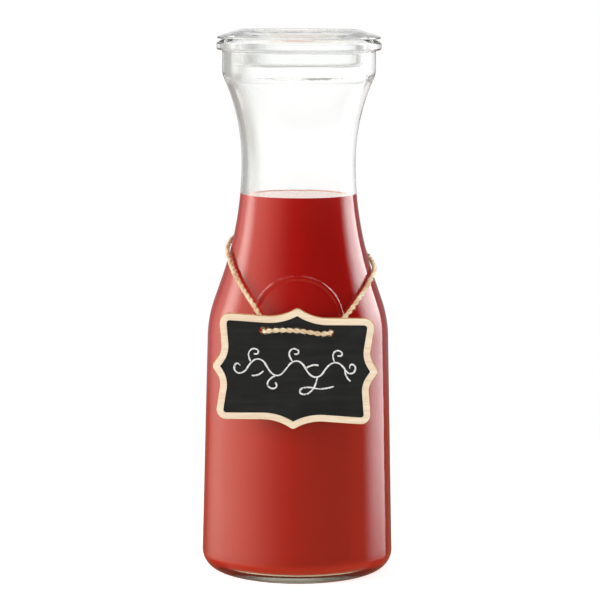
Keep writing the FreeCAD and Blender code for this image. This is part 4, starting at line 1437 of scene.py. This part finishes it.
@dataclass
class Scroll:
    """A plain chalk scroll: a running wave with curls, drawn by hand."""

    material: bpy.types.Material
    half_width: float = 0.42 * MM
    height: float = 0.03 * MM
    spacing: float = 0.35 * MM
    patch_scale: float = 320.0
    patch_range: Point2 = (0.3, 0.7)
    patch_width: Point2 = (0.62, 1.12)  # share of its width where the patches are low and high
    end_width: float = 0.45
    taper: float = 24.0  # how soon a stroke comes up to its whole width
    strokes: tuple[tuple[Point2, ...], ...] = (
        (
            (-24.6, 0.6), (-25.6, 1.9), (-27.2, 1.0), (-27.4, -1.4), (-25.2, -3.2), (-22.2, -1.8),
            (-20.4, 1.8), (-17.6, 4.2), (-14.4, 3.4), (-12.4, 0.0), (-10.0, -3.0), (-6.8, -3.4),
            (-4.4, -0.6), (-2.2, 2.8), (1.0, 4.0), (3.8, 2.0), (5.6, -1.4), (8.4, -3.6),
            (11.6, -2.8), (13.4, 0.4), (15.8, 3.2), (19.0, 3.8), (21.6, 1.6), (23.6, -1.2),
            (26.2, -1.0), (27.2, 1.6), (25.6, 3.4), (24.0, 2.4), (24.4, 1.0),
        ),
        ((-20.0, 2.6), (-21.8, 5.8), (-19.6, 8.8), (-16.6, 8.0), (-17.0, 5.8), (-18.8, 6.2)),
        ((-8.6, -3.2), (-11.8, -5.0), (-12.4, -8.2), (-9.4, -9.6), (-7.4, -7.8), (-8.8, -6.4)),
        ((-1.4, 3.4), (-3.6, 6.4), (-1.8, 9.4), (1.4, 8.6), (1.0, 6.4), (-0.8, 6.8)),
        (
            (10.0, -3.4), (9.4, -7.6), (6.0, -11.4), (2.4, -11.2), (2.6, -8.6), (6.6, -7.8),
            (12.4, -9.0), (17.6, -7.2),
        ),
        ((17.4, 3.8), (16.0, 7.0), (18.2, 9.4), (21.0, 8.2), (20.2, 6.2), (18.6, 6.8)),
        ((-14.2, -1.4), (-16.4, -4.0), (-19.4, -3.6)),
        ((5.0, 0.6), (7.4, 2.6), (10.4, 2.0)),
        ((22.2, 0.6), (22.4, -2.8), (25.0, -4.6)),
    )

    def build(self, depth: float) -> Piece:
        """Draw the scroll on the panel.

        Args:
            depth: How far its underside lies in front of the tag's back.

        Returns:
            The scroll's mesh, in the tag's own frame.
        """
        routes = [[(x * MM, -depth, z * MM) for x, z in stroke] for stroke in self.strokes]
        sizes = {"Half width": self.half_width, "Height": self.height, "Spacing": self.spacing}
        tree = Growth("chalk_stroke", sizes, "FREE")
        tree.give(tree.curve.inputs["Normal"], (0.0, -1.0, 0.0))
        patches = tree.out("ShaderNodeTexNoise", {"Scale": self.patch_scale, "Detail": 2.0})
        width = dict(enumerate((patches, *self.patch_range, *self.patch_width)))
        along = tree.add("GeometryNodeSplineParameter").outputs["Factor"]
        taper = tree.times(along, tree.maths("SUBTRACT", 1.0, along), self.taper)
        taper = tree.maths("MINIMUM", tree.maths("ADD", taper, self.end_width), 1.0)
        sized = {
            "Curve": tree.curve.outputs[0],
            "Radius": tree.times(tree.out("ShaderNodeMapRange", width), taper),
        }
        scale = tree.combine(tree.at["Height"], tree.at["Half width"], 1.0)
        oval = {"Geometry": tree.circle(10, 1.0), "Scale": scale}
        stroke = tree.tube(
            tree.out("GeometryNodeSetCurveRadius", sized),
            tree.out("GeometryNodeTransform", oval),
            Scale=tree.out("GeometryNodeInputRadius"),
        )
        tree.finish(stroke, self.material)
        scroll = tree.grow("chalk_scroll", nurbs_line(routes, 10))
        scroll.data.shade_smooth()
        return scroll


# ---- Twine


# The loop's points, in millimetres: from the knot at the back round the left side,
# down behind the tag, through its two holes and back round the right side to the knot.
TWINE_ROUTE = (
    (-3.2, 31.2, 164.0), (-8.6, 31.2, 164.0), (-16.1, 26.3, 161.2), (-23.9, 20.4, 157.6),
    (-29.9, 11.7, 154.2), (-32.8, 1.6, 151.0), (-32.4, -8.5, 148.4), (-30.1, -18.6, 142.2),
    (-25.4, -28.1, 134.9), (-18.9, -36.5, 126.4), (-16.3, -39.6, 121.9), (-15.2, -40.6, 117.4),
    (-15.2, -46.8, 117.4), (-10.4, -46.8, 118.0), (-2.5, -47.2, 118.1), (5.5, -46.9, 117.2),
    (10.1, -46.8, 116.3), (14.9, -46.8, 116.8), (14.9, -40.7, 116.8), (17.9, -39.1, 119.9),
    (22.5, -35.3, 123.9), (28.4, -27.3, 131.0), (32.7, -18.2, 136.4), (35.1, -8.1, 140.4),
    (35.2, 2.0, 142.2), (31.8, 12.3, 146.8), (25.1, 20.7, 152.6), (16.3, 26.7, 158.8),
    (8.6, 31.2, 164.0), (3.2, 31.2, 164.0),
)

# Half of the knot round its middle: (across, out from the glass, up)
HALF_KNOT = (
    (-4.4, 0.0, 0.3), (-3.0, -0.3, 0.7), (-1.7, -0.9, 0.85), (-0.3, -0.7, 1.7), (0.9, 0.7, 2.3),
    (2.3, 1.0, 1.9), (3.0, 1.0, 0.0), (2.3, 1.0, -1.9), (0.9, 0.7, -2.3), (-0.3, -0.7, -1.7),
    (-1.7, -0.9, -0.85), (-2.9, -0.2, -1.8), (-3.3, 0.5, -4.2), (-4.0, 0.8, -7.4),
    (-5.0, 0.6, -10.6),
)


@dataclass
class Twine:
    """The two-ply jute loop that carries the tag, and its knot at the back."""

    diameter: float = 2.2 * MM
    ply_share: float = 0.29  # radius of a ply, against the diameter over both
    pitch: float = 6.2 * MM  # over which the two plies go once round each other
    spacing: float = 0.45 * MM
    ply_points: int = 14
    fibre_height: float = 0.09 * MM
    fibre_form: tuple[float, float, float] = (0.35, 2.2, 2.2)  # along the ply and round it
    fuzz_length: float = 1.1 * MM
    fuzz: float = 1.1e6  # loose fibres per square metre of the loop, and of the knot
    knot_fuzz: float = 2.0e6
    knot_share: float = 0.74  # of the loop's thickness, where the knot pulls it tight
    tail_end: float = -4.0  # height, in millimetres, below which one tail of the knot is shorter
    tail_lift: float = 0.35

    def twisted(self, name: str, guide: bpy.types.Mesh, diameter: float, fuzz: float) -> Piece:
        """Lay two plies round a guide line.

        Args:
            name: Name of the piece.
            guide: Mesh of edges along the line.
            diameter: Over both plies.
            fuzz: Loose fibres per square metre of surface.

        Returns:
            The finished piece.
        """
        ply = diameter * self.ply_share
        sizes = {
            "Ply radius": ply,
            "Ply offset": diameter / 2 - ply,
            "Pitch": self.pitch * diameter / self.diameter,
            "Spacing": self.spacing,
            "Fibre height": self.fibre_height,
            "Fuzz": fuzz,
            "Fuzz length": self.fuzz_length,
        }
        tree = Growth(name + "_plies", sizes, "MINIMUM_TWIST")
        smooth = self.plies(tree)
        tree.finish(tree.join(self.hairs(tree, smooth), smooth), Jute().material())
        return tree.grow(name, guide)

    def plies(self, tree: Growth) -> Socket:
        """Draw two plies that twist round the tree's curve, roughened by their fibres.

        Args:
            tree: The tree.

        Returns:
            The plies, with each point's place along and round its ply in the attribute "ply".
        """
        along = tree.add("GeometryNodeSplineParameter").outputs["Length"]
        turns = tree.times(tree.maths("DIVIDE", along, tree.at["Pitch"]), math.tau)
        tilt = {"Curve": tree.curve.outputs[0], "Tilt": turns}
        tilted = tree.out("GeometryNodeSetCurveTilt", tilt)
        line, along = tree.keep(tilted, "Along", along)
        circle = tree.circle(self.ply_points, tree.at["Ply radius"])
        pair = []
        for side in (-1.0, 1.0):
            shift = tree.combine(tree.times(tree.at["Ply offset"], side))
            moved = {"Geometry": circle, "Translation": shift}
            pair.append(tree.out("GeometryNodeTransform", moved))
        factor = tree.add("GeometryNodeSplineParameter").outputs["Factor"]
        profile, turn = tree.keep(tree.join(*pair), "Round", factor)
        angle = tree.times(turn, math.tau)
        cosine, sine = tree.maths("COSINE", angle), tree.maths("SINE", angle)
        place = tree.combine(tree.times(along, 1000.0), cosine, sine)
        marked = tree.out(
            "GeometryNodeStoreNamedAttribute",
            {"Geometry": tree.tube(line, profile), "Name": "ply", "Value": place},
            data_type="FLOAT_VECTOR",
            domain="POINT",
        )
        strand = {0: place, 1: self.fibre_form}
        lumps = tree.noise(tree.out("ShaderNodeVectorMath", strand, operation="MULTIPLY"), 1.0, 3.0)
        height = tree.times(tree.at["Fibre height"], 3.0)
        push = {
            0: tree.out("GeometryNodeInputNormal"),
            "Scale": tree.times(tree.maths("SUBTRACT", lumps, 0.5), height),
        }
        offset = tree.out("ShaderNodeVectorMath", push, operation="SCALE")
        rough = tree.out("GeometryNodeSetPosition", {"Geometry": marked, "Offset": offset})
        return tree.out("GeometryNodeSetShadeSmooth", {"Geometry": rough, "Shade Smooth": True})

    def hairs(self, tree: Growth, plies: Socket) -> Socket:
        """Scatter short bent fibres over the plies.

        Args:
            tree: The tree.
            plies: Their surface.

        Returns:
            The fibres.
        """
        scatter = {"Mesh": plies, "Density": tree.at["Fuzz"], "Seed": 7}
        roots = tree.add("GeometryNodeDistributePointsOnFaces", scatter)
        bend = {
            "Resolution": 5,
            "Start": (0.0, 0.0, 0.0),
            "Start Handle": (0.35, 0.0, 0.25),
            "End Handle": (0.8, 0.1, 0.35),
            "End": (1.0, 0.2, 0.55),
        }
        arch = tree.out("GeometryNodeCurvePrimitiveBezierSegment", bend, mode="POSITION")
        about = {"Axis": (0.0, 0.0, 1.0), "Angle": tree.chance(0.0, math.tau, 11)}
        spin = {
            0: roots.outputs["Rotation"],
            1: tree.out("FunctionNodeAxisAngleToRotation", about),
        }
        hairs = {
            "Points": roots.outputs["Points"],
            "Instance": tree.tube(arch, tree.circle(3, 0.022)),
            "Rotation": tree.out("FunctionNodeRotateRotation", spin, rotation_space="LOCAL"),
            "Scale": tree.times(tree.chance(0.45, 1.0, 23), tree.at["Fuzz length"]),
        }
        return tree.out("GeometryNodeInstanceOnPoints", hairs)

    def knot(self) -> Piece:
        """A small reef knot with two tails that hang down.

        Returns:
            The finished piece.
        """
        first, last = Vector(TWINE_ROUTE[0]), Vector(TWINE_ROUTE[-1])
        middle = (first + last) / 2
        # One half is the other turned half round, and its tail is a little shorter
        routes = [
            [
                (middle + Vector((side * x, y, z + lift * (z < self.tail_end)))) * MM
                for x, y, z in HALF_KNOT
            ]
            for side, lift in ((1, 0.0), (-1, self.tail_lift))
        ]
        diameter = self.diameter * self.knot_share
        return self.twisted("knot_of_twine", nurbs_line(routes, 10), diameter, self.knot_fuzz)

    def build(self, carried: Sequence[Piece]) -> None:
        """Make the loop and its knot.

        Args:
            carried: The pieces that hang on the loop; not used.
        """
        guide = nurbs_line([[Vector(p) * MM for p in TWINE_ROUTE]], 12)
        path = [tuple(v.co) for v in guide.vertices]
        length = sum((Vector(a) - Vector(b)).length for a, b in zip(path, path[1:]))
        LOG.info("the twine's line is %.4f m long", length)
        loop = self.twisted("twine_loop", guide, self.diameter, self.fuzz)
        knot = self.knot()
        settle(loop, Slot.TWINE, "twine")
        settle(knot, Slot.TWINE, "twine_knot")
        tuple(path[0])


# ---- Studio


@dataclass
class SoftBox:
    """A curved soft light that stands round the bottle and fades towards its two sides."""

    name: str
    start: float  # where it begins, in degrees round from the front, to the right if positive
    end: float
    rise: float  # share of its width over which it comes up to full strength
    fall: float  # share of its width over which it dies away again
    strength: float
    low: float
    foot: float  # share of its height over which its lower edge comes up
    colour: Colour = WHITE
    high: float = 0.85
    distance: float = 0.70
    columns: int = 32

    def mesh(self) -> bpy.types.Mesh:
        """The curved sheet, with its width and height in a UV map.

        Returns:
            The mesh, facing inwards.
        """
        turns = np.linspace(self.start, self.end, self.columns + 1)
        feet = [(self.distance * sin(t), -self.distance * cos(t)) for t in turns]
        vertices = [(x, y, z) for x, y in feet for z in (self.low, self.high)]
        faces = [(i + 2, i, i + 1, i + 3) for i in range(0, 2 * self.columns, 2)]
        mesh = bpy.data.meshes.new(self.name)
        mesh.from_pydata(vertices, [], faces)
        layer = mesh.uv_layers.new(name="UVMap")
        for loop in mesh.loops:
            column, row = divmod(loop.vertex_index, 2)
            layer.data[loop.index].uv = (column / self.columns, row)
        return mesh

    def build(self) -> None:
        """Make the light, which shines only inwards and only into mirrors."""
        mesh = self.mesh()
        material, sheet, surface = new_material(self.name)
        across, up, _ = sheet.parts(sheet.out("ShaderNodeUVMap", uv_map="UVMap"))
        facing = sheet.add("ShaderNodeNewGeometry").outputs["Backfacing"]
        level = sheet.times(
            sheet.within(across, (0.0, self.rise), (1.0 - self.fall, 1.0)),
            sheet.between(up, 0.0, self.foot),
            sheet.maths("SUBTRACT", 1.0, facing),
            self.strength,
        )
        light = sheet.out("ShaderNodeEmission", {"Color": self.colour, "Strength": level})
        clear = sheet.out("ShaderNodeBsdfTransparent")
        sheet.give(surface, sheet.out("ShaderNodeAddShader", {0: light, 1: clear}))
        mesh.materials.append(material)
        box = link_object(self.name, mesh)
        box.visible_camera = box.visible_shadow = False
        box.visible_diffuse = box.visible_transmission = False


@dataclass
class Lamp:
    """A square lamp that lights the bottle but isn't mirrored in it."""

    name: str
    turn: float  # degrees round from the front, to the right if positive
    height: float  # degrees above the horizon
    power: float
    distance: float = 0.9
    size: float = 0.5
    aim: tuple[float, float, float] = (0.0, 0.0, 0.09)

    def build(self) -> None:
        """Make the lamp."""
        data = bpy.data.lights.new(self.name, "AREA")
        data.energy = self.power
        data.size = self.size
        lamp = link_object(self.name, data)
        across, up = cos(self.height), sin(self.height)
        away = Vector((sin(self.turn) * across, -cos(self.turn) * across, up))
        lamp.location = Vector(self.aim) + away * self.distance
        lamp.rotation_euler = away.to_track_quat("Z", "Y").to_euler()
        lamp.visible_camera = lamp.visible_glossy = lamp.visible_transmission = False


@dataclass
class Camera:
    """The camera, in front of the bottle and a little above it."""

    lens: float = 156.6
    sensor: float = 36.0
    place: tuple[float, float, float] = (0.0009, -1.2, 0.276)
    pitch: float = 7.1335
    roll: float = 0.23

    def build(self) -> None:
        """Set up the camera."""
        data = bpy.data.cameras.new("camera")
        data.lens, data.sensor_width = self.lens, self.sensor
        camera = link_object("camera", data)
        camera.location = self.place
        tilt = Matrix.Rotation(math.radians(90.0 - self.pitch), 4, "X")
        camera.rotation_euler = (tilt @ Matrix.Rotation(math.radians(self.roll), 4, "Z")).to_euler()
        bpy.context.scene.camera = camera


@dataclass
class Floor:
    """A pale floor that keeps the bottle's shadow and fades into the white round it."""

    size: float = 1.2
    white: Colour = (0.80, 0.80, 0.80)
    glow: Colour = (0.60, 0.60, 0.60)  # to the eye
    glow_through_glass: Colour = (0.30, 0.29, 0.20)
    fade: Point2 = (0.10, 0.45)  # from where to where it fades

    def build(self) -> None:
        """Make the floor."""
        half = self.size / 2
        corners = [(x * half, y * half, 0) for x, y in ((-1, -1), (1, -1), (1, 1), (-1, 1))]
        mesh = bpy.data.meshes.new("floor")
        mesh.from_pydata(corners, [], [(0, 1, 2, 3)])
        material, sheet, surface = new_material("white_floor")
        path = sheet.add("ShaderNodeLightPath").outputs
        seen = sheet.maths("MAXIMUM", path["Is Camera Ray"], path["Is Transmission Ray"])
        colour = sheet.blend(path["Is Transmission Ray"], self.glow, self.glow_through_glass)
        matt = sheet.out("ShaderNodeBsdfDiffuse", {"Color": self.white})
        glow = sheet.out("ShaderNodeEmission", {"Color": colour, "Strength": seen})
        near = sheet.out("ShaderNodeAddShader", {0: matt, 1: glow})
        away = sheet.add("ShaderNodeVectorMath", {0: sheet.place()}, operation="LENGTH")
        far = sheet.times(seen, sheet.between(away.outputs["Value"], *self.fade))
        white = sheet.out("ShaderNodeEmission", {"Strength": 1.0})
        sheet.give(surface, sheet.mixed_shaders(far, near, white))
        mesh.materials.append(material)
        floor = link_object("floor", mesh)
        floor.visible_glossy = False


@dataclass
class Surroundings:
    """White all round to the eye and behind glass, dimmer as light and in mirrors.

    Heights and depths are those of a direction one long; turns are in radians from the back,
    to the right if positive.
    """

    ambient: float = 0.41
    # What mirrors see: in front by height, behind, level behind, and above
    front: Point2 = (0.34, 0.02)
    front_height: Point2 = (-0.03, 0.12)
    behind: float = 0.28
    behind_depth: Point2 = (0.0, 0.45)
    level: float = 0.95
    level_depth: Point2 = (0.93, 0.985)
    level_height: Point2 = (0.0, 0.05)
    above: float = 1.3
    above_height: Point2 = (0.72, 0.92)
    # The tints that they see: below and in front, and below and behind
    below_tint: Colour = (1.0, 1.0, 0.5)
    below_height: Point2 = (-0.06, 0.06)
    below_depth: Point2 = (-0.1, 0.3)
    rear_tint: Colour = (1.0, 0.60, 0.40)
    rear_height: Point2 = (-0.16, -0.13)
    # What is seen through glass: white, with grey to the left and right and in a band above
    through_glass: float = 1.06
    grey: float = 0.40
    grey_left: tuple[Point2, Point2] = ((-1.1, -0.85), (-0.28, -0.04))
    grey_right: tuple[Point2, Point2] = ((0.55, 0.80), (1.10, 1.40))
    grey_above: float = 0.38
    grey_band: tuple[Point2, Point2] = ((0.12, 0.28), (0.42, 0.60))

    def mirrored(self, sheet: Sheet, depth: Socket, height: Socket) -> Socket:
        """How bright the world is to mirrors.

        Args:
            sheet: The world's nodes.
            depth: How far back a direction goes.
            height: How far up it goes.

        Returns:
            The strength.
        """
        seen = sheet.between(height, *self.front_height, self.front)
        seen = sheet.mixed(sheet.between(depth, *self.behind_depth), seen, self.behind)
        level = sheet.between(height, *self.level_height)
        level = sheet.times(sheet.between(depth, *self.level_depth), level)
        seen = sheet.mixed(level, seen, self.level)
        return sheet.mixed(sheet.between(height, *self.above_height), seen, self.above)

    def cleared(self, sheet: Sheet, turn: Socket, height: Socket) -> Socket:
        """How bright the world is through glass.

        Args:
            sheet: The world's nodes.
            turn: How far round to the right a direction goes.
            height: How far up it goes.

        Returns:
            The strength.
        """
        left, right = sheet.within(turn, *self.grey_left), sheet.within(turn, *self.grey_right)
        beside = sheet.maths("MAXIMUM", left, right)
        seen = sheet.mixed(beside, self.through_glass, self.grey)
        return sheet.mixed(sheet.within(height, *self.grey_band), seen, self.grey_above)

    def tinted(self, sheet: Sheet, mirror: Socket, depth: Socket, height: Socket) -> Socket:
        """The world's colour.

        Args:
            sheet: The world's nodes.
            mirror: 1 to mirrors, 0 to all else.
            depth: How far back a direction goes.
            height: How far up it goes.

        Returns:
            The colour.
        """
        low = sheet.between(height, *self.below_height, FALLING)
        below = sheet.times(mirror, low, sheet.between(depth, *self.below_depth, FALLING))
        behind = sheet.times(mirror, sheet.between(depth, *self.behind_depth))
        rear = sheet.times(behind, sheet.between(height, *self.rear_height, FALLING))
        colour = sheet.blend(below, WHITE, self.below_tint)
        return sheet.blend(rear, colour, self.rear_tint)

    def build(self) -> None:
        """Make the world."""
        world = bpy.data.worlds.new("studio")
        world.use_nodes = True
        world.node_tree.nodes.clear()
        sheet = Sheet(world.node_tree)
        path = sheet.add("ShaderNodeLightPath").outputs
        right, depth, height = sheet.parts(sheet.add("ShaderNodeTexCoord").outputs["Generated"])
        turn = sheet.maths("ARCTAN2", right, depth)
        glossy, through = path["Is Glossy Ray"], path["Is Transmission Ray"]
        strength = sheet.mixed(glossy, self.ambient, self.mirrored(sheet, depth, height))
        strength = sheet.mixed(through, strength, self.cleared(sheet, turn, height))
        strength = sheet.mixed(path["Is Camera Ray"], strength, 1.0)
        # A ray that glass lets through counts as glossy too
        mirror = sheet.maths("SUBTRACT", glossy, through, clamp=True)
        colour = self.tinted(sheet, mirror, depth, height)
        back = sheet.out("ShaderNodeBackground", {"Color": colour, "Strength": strength})
        sheet.add("ShaderNodeOutputWorld", {0: back})
        bpy.context.scene.world = world


@dataclass
class Studio:
    """Everything round the bottle: camera, floor, surroundings and lights."""

    parts: tuple[Camera | Floor | Surroundings | SoftBox | Lamp, ...] = (
        Camera(),
        Floor(),
        Surroundings(),
        SoftBox("left_light", -150.0, -4.0, 0.31, 0.60, 1.95, -0.30, 0.20, (1.0, 0.97, 0.80)),
        SoftBox("left_strip", -124.0, -84.0, 0.45, 0.45, 3.5, 0.04, 0.25, (1.0, 1.0, 0.94)),
        SoftBox("right_strip", 84.0, 134.0, 0.50, 0.03, 3.1, -0.22, 0.19),
        SoftBox("right_strip_high", 84.0, 136.0, 0.45, 0.03, 3.0, 0.04, 0.25),
        Lamp("key_lamp", -75.0, 14.0, 8.25),
        Lamp("side_lamp", 80.0, 14.0, 4.1),
        Lamp("front_lamp", 25.0, 8.0, 2.4),
    )
    bounces: int = 24  # enough for the glasses one behind another

    def build(self) -> None:
        """Set up everything round the bottle."""
        for part in self.parts:
            part.build()
        scene = bpy.context.scene
        scene.view_settings.view_transform = "Standard"
        for kind in ("max", "glossy", "transmission", "transparent_max"):
            setattr(scene.cycles, kind + "_bounces", self.bounces)


def main() -> None:
    """Build the bottle and its surroundings around the frame."""
    logging.basicConfig(level=logging.INFO, format="%(name)s: %(message)s")
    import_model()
    Studio().build()
    bottle = Bottle()
    bottle.build()
    Juice(bottle).build()
    Lid().build()
    Twine().build(Tag().build())
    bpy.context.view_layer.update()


if __name__ == "__main__":
    main()
